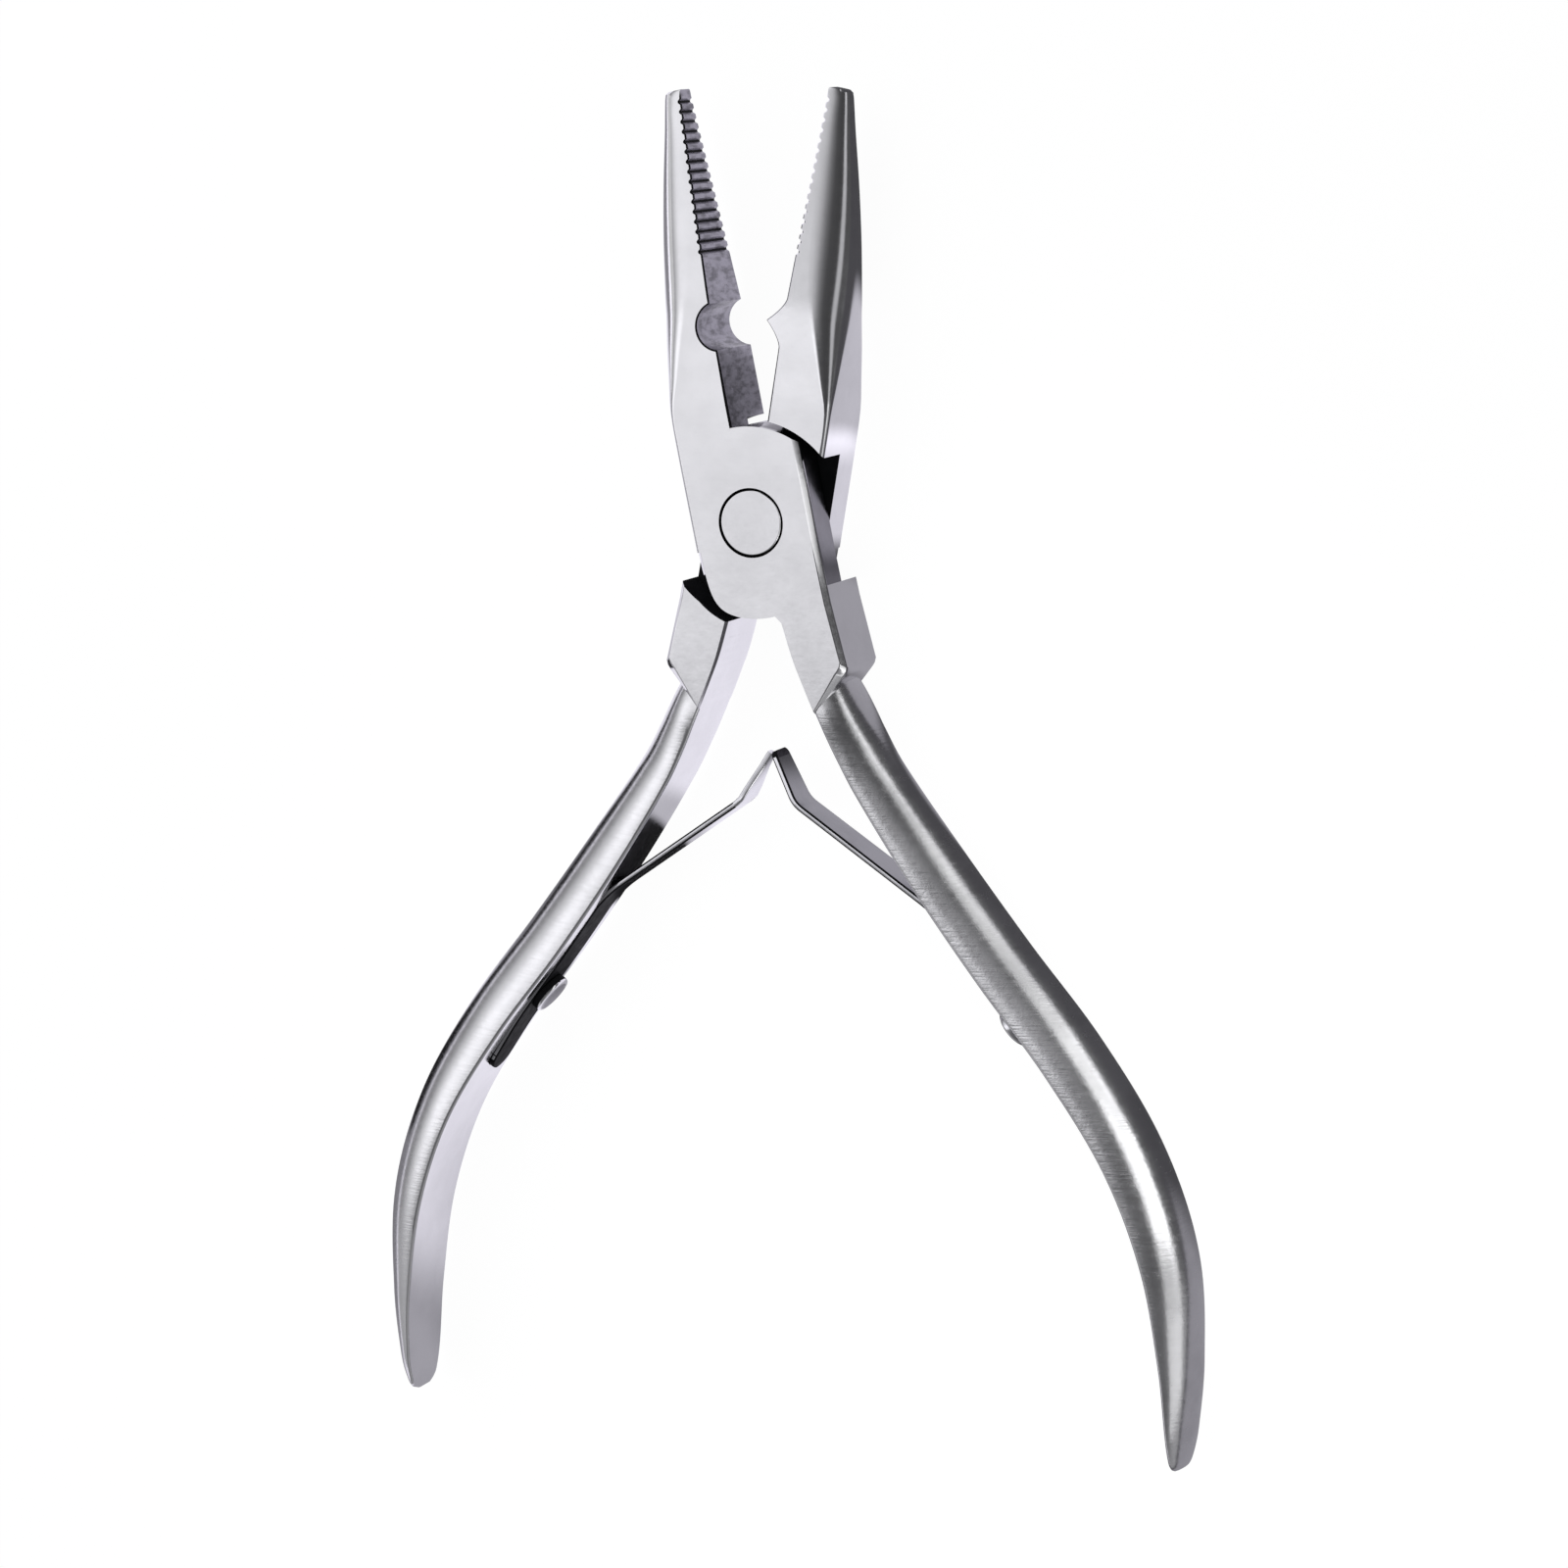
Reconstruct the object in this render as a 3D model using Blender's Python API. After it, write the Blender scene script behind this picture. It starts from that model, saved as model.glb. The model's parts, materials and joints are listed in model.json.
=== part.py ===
"""Lap-joint crimping pliers with a double leaf spring, in metres, +Z up.

The pliers lie flat: the pivot axis is Z, the jaws point to +Y, the handles to -Y, and
Z = 0 is the table. Each half is drawn in the closed position, with its inner faces on
X = 0, and then turned by half of the opening angle about the pivot. Both halves share
one shape: the rear half is the front half turned by 180 degrees about the long axis.
Every length below is in millimetres, and new_object() turns them into metres.
"""

import math

import bmesh
import bpy
from mathutils import Matrix, Vector

MM = 0.001
GAP = 0.3  # running clearance between neighbouring pieces

# Opening of the pliers at rest, shared between the two halves
OPENING_DEG = 21.0

# Joint
THICKNESS = 8.4  # both laps together
LAP_GAP = 0.3  # between the two laps
JOINT_HALF_WIDTH = 6.5
CHAMFER = 0.5
CHEEK_RADIUS = 9.45
UPPER_POCKET_RADIUS = 10.15  # shoulder below the jaw
LOWER_POCKET_RADIUS = 9.8  # shoulder above the handle
LOWER_RELIEF_CENTRE = (-0.5, -2.45)
LOWER_RELIEF_RADIUS = 7.95
CORNER_POWER = 8.0  # roundness of the cheek's free lower corner

# Pivot rivet
RIVET_HEAD_RADIUS = 3.2
RIVET_HEAD_LENGTH = 1.3
RIVET_SHANK_RADIUS = 2.2

# Jaw stations: distance from the pivot, depth, half thickness, and the size of the
# elliptical outer corners across and through the jaw
JAW_STATIONS = [
    (-2.0, 6.45, 4.2, 0.5, 0.5),
    (8.0, 6.5, 4.2, 0.5, 0.5),
    (12.0, 6.5, 4.2, 0.6, 0.7),
    (15.0, 6.45, 4.15, 1.6, 1.7),
    (18.0, 6.4, 4.1, 2.6, 2.8),
    (21.5, 6.25, 3.9, 3.6, 3.9),
    (25.0, 5.8, 3.5, 4.0, 3.5),
    (29.0, 5.15, 3.0, 3.9, 3.0),
    (34.0, 4.15, 2.35, 3.4, 2.35),
    (39.0, 3.0, 1.7, 2.6, 1.7),
    (42.2, 2.3, 1.3, 2.0, 1.3),
    (42.7, 1.9, 1.05, 1.6, 1.05),
]
JAW_CLEARANCE = 0.12  # each inner face stands this far off the closing plane
SERRATION_PITCH = 0.98
SERRATION_COUNT = 16
SERRATION_DEPTH = 0.35
SERRATION_TOP_Y = 42.2

# Crimping stations: a round notch in one jaw and a pointed tooth in the other
NOTCH_CENTRE = (0.48, 19.4)
NOTCH_RADIUS = 2.36
POINT_Y = 19.85
POINT_HEIGHT = 1.72
POINT_HALF_BASE = 2.4
POINT_HOLLOW = 1.5  # above 1, the tooth's flanks are hollow

# Handle stations: distance from the pivot, inner face, depth and width
HANDLE_STATIONS = [
    (10.2, 1.05, 3.2, 6.4),
    (14.0, 1.5, 3.4, 6.6),
    (18.0, 2.35, 3.8, 6.9),
    (23.0, 3.55, 4.3, 7.1),
    (28.0, 5.1, 4.65, 7.3),
    (38.0, 9.3, 5.3, 7.5),
    (48.0, 14.15, 5.55, 7.6),
    (58.0, 19.5, 5.45, 7.95),
    (68.0, 23.7, 5.2, 8.3),
    (78.0, 25.6, 4.7, 8.35),
    (88.0, 25.5, 3.3, 8.1),
    (95.0, 24.7, 2.1, 7.2),
    (97.6, 24.3, 1.5, 5.6),
    (98.8, 24.2, 0.9, 3.4),
]
HANDLE_STEP = 3.0
PLATE_OUTER = [(0.0, 6.45), (-9.0, 6.6), (-15.7, 7.05)]  # outer side of the plate
PLATE_INNER_START = -9.0
PLATE_INNER_END = -19.8
ARC_SEGMENTS = 12

# Leaf springs
LEAF_THICKNESS = 0.7
LEAF_END_Y = -62.4
LEAF_FLEX_Y = -41.3
LEAF_BEND = (-2.2, -28.2)
LEAF_TIP = (-3.55, -23.0)  # of the notched leaf
TONGUE_TIP = (-4.3, -22.5)  # of the other leaf, past the notched one
LEAF_FLEX_RADIUS = 14.0
LEAF_BEND_RADIUS = 3.0
LEAF_HANDLE_WIDTH = 4.2
LEAF_BEND_WIDTH = 3.9
LEAF_TIP_WIDTH = 3.2
TONGUE_WIDTH = 1.3
TONGUE_LENGTH = 2.2
NOTCH_DEPTH = 1.8

# Leaf screws
SCREW_Y = -52.9
SCREW_HEAD_RADIUS = 2.15
SCREW_HEAD_HEIGHT = 1.3
SCREW_SHANK_RADIUS = 1.1
SCREW_HOLE_DEPTH = 3.4


def clear_scene():
    for obj in list(bpy.data.objects):
        bpy.data.objects.remove(obj)


def steel(name, colour, roughness, metallic=1.0):
    """A plain metal for one kind of piece."""
    material = bpy.data.materials.new(name)
    material.use_nodes = True
    shader = material.node_tree.nodes["Principled BSDF"]
    shader.inputs["Base Color"].default_value = (*colour, 1.0)
    shader.inputs["Roughness"].default_value = roughness
    shader.inputs["Metallic"].default_value = metallic
    material.diffuse_color = (*colour, 1.0)
    return material


def new_object(name, mesh_maker):
    """An object whose mesh is drawn in millimetres by mesh_maker(bm)."""
    bm = bmesh.new()
    mesh_maker(bm)
    bmesh.ops.recalc_face_normals(bm, faces=bm.faces)
    bmesh.ops.scale(bm, vec=(MM, MM, MM), verts=bm.verts)
    mesh = bpy.data.meshes.new(name)
    bm.to_mesh(mesh)
    bm.free()
    obj = bpy.data.objects.new(name, mesh)
    bpy.context.scene.collection.objects.link(obj)
    return obj


def combine(target, other, operation):
    """Joins other to target, or cuts it from target, and removes other."""
    modifier = target.modifiers.new(other.name, "BOOLEAN")
    modifier.operation = operation
    modifier.object = other
    graph = bpy.context.evaluated_depsgraph_get()
    mesh = bpy.data.meshes.new_from_object(target.evaluated_get(graph))
    target.modifiers.clear()
    target.data = mesh
    bpy.data.objects.remove(other)


def bridge(bm, loops):
    """Walls between neighbouring loops of equal length, with both ends capped."""
    rings = [[bm.verts.new(point) for point in loop] for loop in loops]
    for lower, upper in zip(rings, rings[1:]):
        for i in range(len(lower)):
            j = (i + 1) % len(lower)
            bm.faces.new((lower[i], lower[j], upper[j], upper[i]))
    bm.faces.new(rings[0])
    bm.faces.new(rings[-1])


def prism(outline, low, high):
    """Mesh maker for an outline in X and Y, extruded from low to high."""

    def make(bm):
        bridge(bm, [[(x, y, z) for x, y in outline] for z in (low, high)])

    return make


def circle(radius, centre=(0.0, 0.0), segments=64):
    return [
        (
            centre[0] + radius * math.cos(2 * math.pi * i / segments),
            centre[1] + radius * math.sin(2 * math.pi * i / segments),
        )
        for i in range(segments)
    ]


def station(rows, distance):
    """The row of a table at a distance, on a smooth curve through its rows."""
    last = len(rows) - 2
    i = next((k for k in range(last) if distance < rows[k + 1][0]), last)
    before, here = rows[max(i - 1, 0)], rows[i]
    after, beyond = rows[i + 1], rows[min(i + 2, last + 1)]
    span = after[0] - here[0]
    t = (distance - here[0]) / span
    values = []
    for a, b, c, d in zip(before, here, after, beyond):
        slope_in = (c - a) / (after[0] - before[0]) * span
        slope_out = (d - b) / (beyond[0] - here[0]) * span
        values.append(
            b * (2 * t**3 - 3 * t**2 + 1)
            + c * (3 * t**2 - 2 * t**3)
            + slope_in * (t**3 - 2 * t**2 + t)
            + slope_out * (t**3 - t**2)
        )
    return values


def handle_face(y):
    """Point of the handle's inner face at height y, and the direction away from it."""
    x = station(HANDLE_STATIONS, -y)[1]
    x_above = station(HANDLE_STATIONS, -y - 0.5)[1]
    x_below = station(HANDLE_STATIONS, -y + 0.5)[1]
    inward = Vector((-1.0, x_above - x_below, 0.0)).normalized()
    return Vector((x, y, 0.0)), inward


def jaw_section(row, inner_x):
    """Flat inner side, and an outer side whose corners are quarter ellipses."""
    y, depth, half, across, through = row
    points = [(inner_x, y, half)]
    for i in range(7):
        a = math.pi / 2 * i / 6
        x = -(depth - across) - across * math.sin(a)
        points.append((x, y, half - through + through * math.cos(a)))
    for i in range(7):
        a = math.pi / 2 * i / 6
        x = -(depth - across) - across * math.cos(a)
        points.append((x, y, -(half - through) - through * math.sin(a)))
    points.append((inner_x, y, -half))
    return [(x, y, z + THICKNESS / 2) for x, y, z in points]


def make_jaw(bm):
    """The jaw, with spare material past its inner face for the profile cut."""
    spare = POINT_HEIGHT + 1.0
    rows = []
    for here, after in zip(JAW_STATIONS, JAW_STATIONS[1:]):
        steps = max(1, round((after[0] - here[0]) / 2.5))
        for i in range(steps):
            rows.append(station(JAW_STATIONS, here[0] + (after[0] - here[0]) * i / steps))
    rows.append(list(JAW_STATIONS[-1]))
    # The corner of a section can't be larger than the section.
    for row in rows:
        row[4] = min(row[4], row[2])
    bridge(bm, [jaw_section(row, spare) for row in rows])


def jaw_profile(pointed):
    """Inner side of a jaw from below the joint to past the tip."""
    face = -JAW_CLEARANCE
    points = [(face, -4.0)]
    if pointed:
        for i in range(13):
            t = -1.0 + i / 6.0
            rise = POINT_HEIGHT * (1 - abs(t)) ** POINT_HOLLOW
            points.append((face + rise, POINT_Y + t * POINT_HALF_BASE))
    else:
        reach = math.acos((NOTCH_CENTRE[0] - face) / NOTCH_RADIUS)
        for i in range(15):
            a = math.pi + reach - 2 * reach * i / 14
            x = NOTCH_CENTRE[0] + NOTCH_RADIUS * math.cos(a)
            points.append((x, NOTCH_CENTRE[1] + NOTCH_RADIUS * math.sin(a)))
    bottom = SERRATION_TOP_Y - SERRATION_COUNT * SERRATION_PITCH
    for i in range(SERRATION_COUNT):
        y = bottom + i * SERRATION_PITCH
        points.append((face, y))
        points.append((face - SERRATION_DEPTH, y + SERRATION_PITCH * 0.3))
        points.append((face, y + SERRATION_PITCH * 0.6))
    points.append((face, 50.0))
    return points


def make_jaw_cutter(pointed):
    outline = jaw_profile(pointed) + [(12.0, 50.0), (12.0, -4.0)]
    return prism(outline, -2.0, THICKNESS + 2.0)


def cheek_outline(half_width):
    """Round cheek with flat sides, and a softened lower corner on the free side."""
    corner = math.acos(half_width / CHEEK_RADIUS)
    points = []
    for i in range(25):
        a = corner + (math.pi - 2 * corner) * i / 24
        points.append((CHEEK_RADIUS * math.cos(a), CHEEK_RADIUS * math.sin(a)))
    for i in range(21):
        a = math.pi + math.pi / 2 * i / 20
        flat = (abs(math.cos(a)) / half_width) ** CORNER_POWER
        radius = (flat + CHEEK_RADIUS**-CORNER_POWER) ** (-1 / CORNER_POWER)
        points.append((radius * math.cos(a), radius * math.sin(a)))
    for i in range(1, 13):
        a = 1.5 * math.pi + (math.pi / 2 - corner) * i / 12
        points.append((CHEEK_RADIUS * math.cos(a), CHEEK_RADIUS * math.sin(a)))
    return points


def make_cheek(bm):
    """The lap around the pivot, chamfered along its outer edges."""
    middle = THICKNESS / 2 + LAP_GAP / 2
    wide = cheek_outline(JOINT_HALF_WIDTH)
    narrow = cheek_outline(JOINT_HALF_WIDTH - CHAMFER)
    loops = [(wide, middle), (wide, THICKNESS - CHAMFER), (narrow, THICKNESS)]
    bridge(bm, [[(x, y, z) for x, y in outline] for outline, z in loops])


def plate_outline(inset):
    """The thick plate between the joint and the handle, with a slanted lower end."""
    points = [(0.2, 0.0), (0.2, PLATE_INNER_START)]
    for i in range(8):
        y = -10.2 + (PLATE_INNER_END + 10.2) * i / 7
        points.append((station(HANDLE_STATIONS, -y)[1], y))
    low_x, low_y = PLATE_OUTER[-1][1], PLATE_OUTER[-1][0]
    points[-1] = (points[-1][0], points[-1][1] + inset * 0.8)
    points.append((low_x - inset - 0.3, low_y - 0.45 + inset * 0.5))
    points.append((low_x - inset, low_y + 0.2 + inset * 0.5))
    points += [(x - inset, y) for y, x in reversed(PLATE_OUTER[:-1])]
    return points


def make_plate(bm):
    loops = [(CHAMFER, 0.0), (0.0, CHAMFER)]
    loops += [(0.0, THICKNESS - CHAMFER), (CHAMFER, THICKNESS)]
    bridge(bm, [[(x, y, z) for x, y in plate_outline(inset)] for inset, z in loops])


def make_handle(bm):
    """A tapering bar with a flat inner face and a half-round outer side."""
    start = 12.0
    end = HANDLE_STATIONS[-3][0]
    count = round((end - start) / HANDLE_STEP)
    distances = [start + (end - start) * i / count for i in range(count + 1)]
    distances += [row[0] for row in HANDLE_STATIONS[-2:]]
    loops = []
    for distance in distances:
        _, _, depth, width = station(HANDLE_STATIONS, distance)
        face, inward = handle_face(-distance)
        loop = []
        for i in range(ARC_SEGMENTS + 1):
            a = math.pi * i / ARC_SEGMENTS
            point = face - inward * depth * math.sin(a)
            loop.append((point.x, point.y, THICKNESS / 2 + width / 2 * math.cos(a)))
        loops.append(loop)
    bridge(bm, loops)


def screw_matrix():
    """Frame of a leaf screw: its axis is local Z, pointing away from the handle."""
    face, inward = handle_face(SCREW_Y)
    across = Vector((0.0, 0.0, 1.0)).cross(inward)
    turn = Matrix((across, (0.0, 0.0, 1.0), inward)).transposed().to_4x4()
    origin = Vector((face.x, face.y, THICKNESS / 2))
    return Matrix.Translation(origin) @ turn


def turned(profile, segments=32):
    """Mesh maker for a solid of revolution about Z from (radius, height) rings."""

    def make(bm):
        loops = []
        for radius, z in profile:
            loops.append([(x, y, z) for x, y in circle(radius, segments=segments)])
        bridge(bm, loops)

    return make


def hole(radius, low, high):
    """Mesh maker for a cutter along Z that clears a round piece of this radius."""
    return turned([(radius + GAP, low), (radius + GAP, high)])


def placed(maker, matrix):
    """Mesh maker that moves another maker's mesh by a matrix, in millimetres."""

    def make(bm):
        maker(bm)
        bmesh.ops.transform(bm, matrix=matrix, verts=bm.verts)

    return make


def make_half(name, pointed):
    """One forging in the front half's place: jaw, lap, plate and handle."""
    half = new_object(name, make_jaw)
    combine(half, new_object("jaw_cut", make_jaw_cutter(pointed)), "DIFFERENCE")
    for label, maker in (("cheek", make_cheek), ("plate", make_plate), ("bar", make_handle)):
        combine(half, new_object(label, maker), "UNION")
    middle = THICKNESS / 2 + LAP_GAP / 2
    upper = [point for point in circle(UPPER_POCKET_RADIUS, segments=96) if point[1] > -0.01]
    lower = [point for point in circle(LOWER_POCKET_RADIUS, segments=96) if point[1] < 0.01]
    relief = circle(LOWER_RELIEF_RADIUS, LOWER_RELIEF_CENTRE, 96)
    cuts = [
        prism(upper, -1.0, middle),
        prism(lower, -1.0, middle),
        prism(relief, -1.0, middle),
        hole(RIVET_SHANK_RADIUS, -1.0, THICKNESS + 1.0),
        hole(RIVET_HEAD_RADIUS, THICKNESS - RIVET_HEAD_LENGTH - GAP, THICKNESS + 1.0),
        placed(hole(SCREW_SHANK_RADIUS, -SCREW_HOLE_DEPTH, 2.0), screw_matrix()),
    ]
    for maker in cuts:
        combine(half, new_object("cut", maker), "DIFFERENCE")
    return half


def make_rivet(bm):
    profile = [
        (RIVET_HEAD_RADIUS, 0.0),
        (RIVET_HEAD_RADIUS, RIVET_HEAD_LENGTH),
        (RIVET_SHANK_RADIUS, RIVET_HEAD_LENGTH),
        (RIVET_SHANK_RADIUS, THICKNESS - RIVET_HEAD_LENGTH),
        (RIVET_HEAD_RADIUS, THICKNESS - RIVET_HEAD_LENGTH),
        (RIVET_HEAD_RADIUS, THICKNESS),
    ]
    turned(profile, 48)(bm)


def make_screw(bm):
    """Dome-head screw along local Z, with its seat just above the leaf."""
    seat = GAP + LEAF_THICKNESS + GAP
    profile = [
        (SCREW_SHANK_RADIUS, GAP - SCREW_HOLE_DEPTH),
        (SCREW_SHANK_RADIUS, seat),
        (SCREW_HEAD_RADIUS, seat),
        (SCREW_HEAD_RADIUS, seat + SCREW_HEAD_HEIGHT * 0.7),
        (SCREW_HEAD_RADIUS * 0.82, seat + SCREW_HEAD_HEIGHT * 0.95),
        (SCREW_HEAD_RADIUS * 0.5, seat + SCREW_HEAD_HEIGHT),
    ]
    turned(profile, 32)(bm)


def rounded_path(points, radii, step_deg=6.0):
    """A polyline whose inner corners are replaced by arcs of the given radii."""
    path = [points[0]]
    for before, corner, after, radius in zip(points, points[1:], points[2:], radii):
        arrive = (corner - before).normalized()
        leave = (after - corner).normalized()
        bend = arrive.angle(leave)
        reach = radius * math.tan(bend / 2)
        start = corner - arrive * reach
        side = (leave - arrive * leave.dot(arrive)).normalized()
        count = max(2, round(math.degrees(bend) / step_deg))
        for i in range(count + 1):
            a = bend * i / count
            path.append(
                start + arrive * radius * math.sin(a) + side * radius * (1 - math.cos(a))
            )
    path.append(points[-1])
    return path


def leaf_points(tongue=False):
    """Centre line of a leaf: clamped end, flexure, bend and tip."""
    offset = GAP + LEAF_THICKNESS / 2
    clamped = []
    for y in (LEAF_END_Y, LEAF_FLEX_Y):
        face, inward = handle_face(y)
        clamped.append(face + inward * offset)
    tip = TONGUE_TIP if tongue else LEAF_TIP
    return clamped + [Vector((*LEAF_BEND, 0.0)), Vector((*tip, 0.0))]


def leaf_flexure():
    return leaf_points()[1]


def leaf_width(point):
    """Width of the leaf, narrowing from the flexure to the bend and to the tip."""
    _, flex, bend, tip = leaf_points()
    if point.y < flex.y:
        return LEAF_HANDLE_WIDTH
    if point.y < bend.y:
        t = (point.y - flex.y) / (bend.y - flex.y)
        return LEAF_HANDLE_WIDTH + (LEAF_BEND_WIDTH - LEAF_HANDLE_WIDTH) * t
    t = (point.y - bend.y) / (tip.y - bend.y)
    return LEAF_BEND_WIDTH + (LEAF_TIP_WIDTH - LEAF_BEND_WIDTH) * t


def leaf_stops(tongue):
    """Points along a leaf with its width at each: round end, strip, and tip."""
    path = rounded_path(leaf_points(tongue), [LEAF_FLEX_RADIUS, LEAF_BEND_RADIUS])
    first = (path[1] - path[0]).normalized()
    last = (path[-1] - path[-2]).normalized()
    radius = LEAF_HANDLE_WIDTH / 2
    stops = []
    for i in range(1, 7):
        a = math.pi / 2 * i / 6
        along = radius * (1 - math.cos(a))
        stops.append((path[0] + first * along, 2 * radius * math.sin(a)))
    stops += [(point, leaf_width(point)) for point in path[1:-1]]
    if tongue:
        root = path[-1] - last * TONGUE_LENGTH
        stops.append((root, leaf_width(root)))
        stops.append((root + last * 0.05, TONGUE_WIDTH))
        stops.append((path[-1], TONGUE_WIDTH))
    else:
        stops.append((path[-1], LEAF_TIP_WIDTH))
    return stops


def make_leaf(tongue):
    """Mesh maker for a leaf around its flexure, ending in a tongue or square."""

    def make(bm):
        stops = leaf_stops(tongue)
        loops = []
        for i, (point, width) in enumerate(stops):
            before = stops[max(i - 1, 0)][0]
            after = stops[min(i + 1, len(stops) - 1)][0]
            direction = (after - before).normalized()
            side = Vector((-direction.y, direction.x, 0.0)) * LEAF_THICKNESS / 2
            high = Vector((0.0, 0.0, width / 2))
            corners = (side + high, side - high, -side - high, high - side)
            loops.append([point + corner for corner in corners])
        bridge(bm, loops)
        to_origin = Vector((0.0, 0.0, THICKNESS / 2)) - leaf_flexure()
        bmesh.ops.translate(bm, vec=to_origin, verts=bm.verts)

    return make


def cut_leaf(leaf, notched):
    """Cuts the screw hole, and the notch that takes the other leaf's tongue."""
    to_leaf = Matrix.Translation(-leaf_flexure())
    screw_hole = placed(hole(SCREW_SHANK_RADIUS, -1.0, 3.0), to_leaf @ screw_matrix())
    combine(leaf, new_object("cut", screw_hole), "DIFFERENCE")
    if notched:
        tip = leaf_points()[-1]
        half = TONGUE_WIDTH / 2 + GAP
        outline = [(-3.0, -NOTCH_DEPTH), (3.0, -NOTCH_DEPTH), (3.0, 3.0), (-3.0, 3.0)]
        slot = placed(
            prism(outline, THICKNESS / 2 - half, THICKNESS / 2 + half),
            to_leaf @ Matrix.Translation(tip),
        )
        combine(leaf, new_object("cut", slot), "DIFFERENCE")


def finish(obj, material, parent):
    """Gives a piece its material and smooth shading, and hangs it on its frame."""
    obj.data.materials.clear()
    obj.data.materials.append(material)
    obj.data.shade_smooth()
    obj.data.set_sharp_from_angle(angle=math.radians(28))
    obj.parent = parent


def half_frame(name, angle_deg, turned_over):
    """Empty on the pivot axis that carries one half. The rear half is turned over."""
    frame = bpy.data.objects.new(name, None)
    bpy.context.scene.collection.objects.link(frame)
    matrix = Matrix.Rotation(math.radians(angle_deg), 4, "Z")
    if turned_over:
        matrix = matrix @ Matrix.Translation((0.0, 0.0, THICKNESS * MM))
        matrix = matrix @ Matrix.Rotation(math.pi, 4, "Y")
    frame.matrix_world = matrix
    return frame


def make_side(prefix, half_name, frame, pointed, steels):
    """One half with its leaf and screw."""
    forged, sprung, turned_steel = steels
    half = make_half(half_name, pointed)
    finish(half, forged, frame)
    leaf = new_object(prefix + "_spring_leaf", make_leaf(tongue=pointed))
    cut_leaf(leaf, notched=not pointed)
    leaf.location = leaf_flexure() * MM
    finish(leaf, sprung, frame)
    screw = new_object(prefix + "_spring_screw", make_screw)
    matrix = screw_matrix()
    matrix.translation *= MM
    screw.matrix_local = matrix
    finish(screw, turned_steel, frame)


def main():
    clear_scene()
    forged = steel("forged_steel", (0.74, 0.74, 0.76), 0.22)
    sprung = steel("spring_steel", (0.52, 0.52, 0.57), 0.25)
    turned_steel = steel("turned_steel", (0.62, 0.62, 0.64), 0.28)
    steels = (forged, sprung, turned_steel)
    front = half_frame("front_frame", OPENING_DEG / 2, turned_over=False)
    rear = half_frame("rear_frame", -OPENING_DEG / 2, turned_over=True)
    make_side("right", "front_half", front, False, steels)
    make_side("left", "rear_half", rear, True, steels)
    rivet = new_object("pivot_rivet", make_rivet)
    finish(rivet, turned_steel, front)


main()
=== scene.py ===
import json
import math

import bmesh
import bpy
from mathutils import Matrix, Vector


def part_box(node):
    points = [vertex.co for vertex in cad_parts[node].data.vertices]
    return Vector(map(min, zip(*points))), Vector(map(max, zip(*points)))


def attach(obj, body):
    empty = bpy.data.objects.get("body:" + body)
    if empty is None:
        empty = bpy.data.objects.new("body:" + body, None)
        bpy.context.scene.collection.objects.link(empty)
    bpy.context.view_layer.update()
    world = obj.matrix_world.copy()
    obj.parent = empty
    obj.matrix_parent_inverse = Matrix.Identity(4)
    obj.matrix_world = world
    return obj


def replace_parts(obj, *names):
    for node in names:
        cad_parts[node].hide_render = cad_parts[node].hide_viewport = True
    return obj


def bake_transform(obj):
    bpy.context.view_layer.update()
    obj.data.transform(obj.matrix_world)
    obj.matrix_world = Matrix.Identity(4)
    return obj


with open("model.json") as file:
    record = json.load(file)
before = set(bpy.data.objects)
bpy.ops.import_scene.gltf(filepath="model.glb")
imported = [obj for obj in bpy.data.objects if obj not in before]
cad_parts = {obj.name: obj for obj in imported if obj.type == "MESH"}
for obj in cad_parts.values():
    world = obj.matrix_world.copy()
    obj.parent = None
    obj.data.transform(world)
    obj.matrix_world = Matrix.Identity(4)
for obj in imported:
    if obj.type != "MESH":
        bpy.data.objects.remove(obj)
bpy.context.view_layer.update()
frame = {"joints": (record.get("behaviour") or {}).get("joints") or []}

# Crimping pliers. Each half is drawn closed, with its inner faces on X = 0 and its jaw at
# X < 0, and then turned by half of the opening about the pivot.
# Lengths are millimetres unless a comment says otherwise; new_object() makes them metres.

MM = 0.001
JOINTS = {joint["name"]: joint for joint in frame["joints"]}
RIVET_LOW, RIVET_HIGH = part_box("pivot_rivet")

OPENING_DEG = JOINTS["pivot"]["range_deg"][1]
THICKNESS = (RIVET_HIGH.z - RIVET_LOW.z) / MM
MIDDLE = THICKNESS / 2
LAP_GAP = 0.16

# Joint
JOINT_HALF_WIDTH = 6.5
CHAMFER = 0.54
CHEEK_RADIUS = 9.45
UPPER_POCKET_RADIUS = 10.15
LOWER_POCKET_RADIUS = 9.8
LOWER_RELIEF_CENTRE = (-0.5, -2.45)
LOWER_RELIEF_RADIUS = 7.95
POCKET_SEGMENTS = 160
CORNER_POWER = 8.0  # roundness of the cheek's free lower corner
SIDE_TOP_DROP = 0.7  # from the face down to the part of the outer sides in painted shade

RIVET_RADIUS = (RIVET_HIGH.x - RIVET_LOW.x) / MM / 2
RIVET_GROOVE = 0.24
RIVET_EDGE = 0.12

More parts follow.
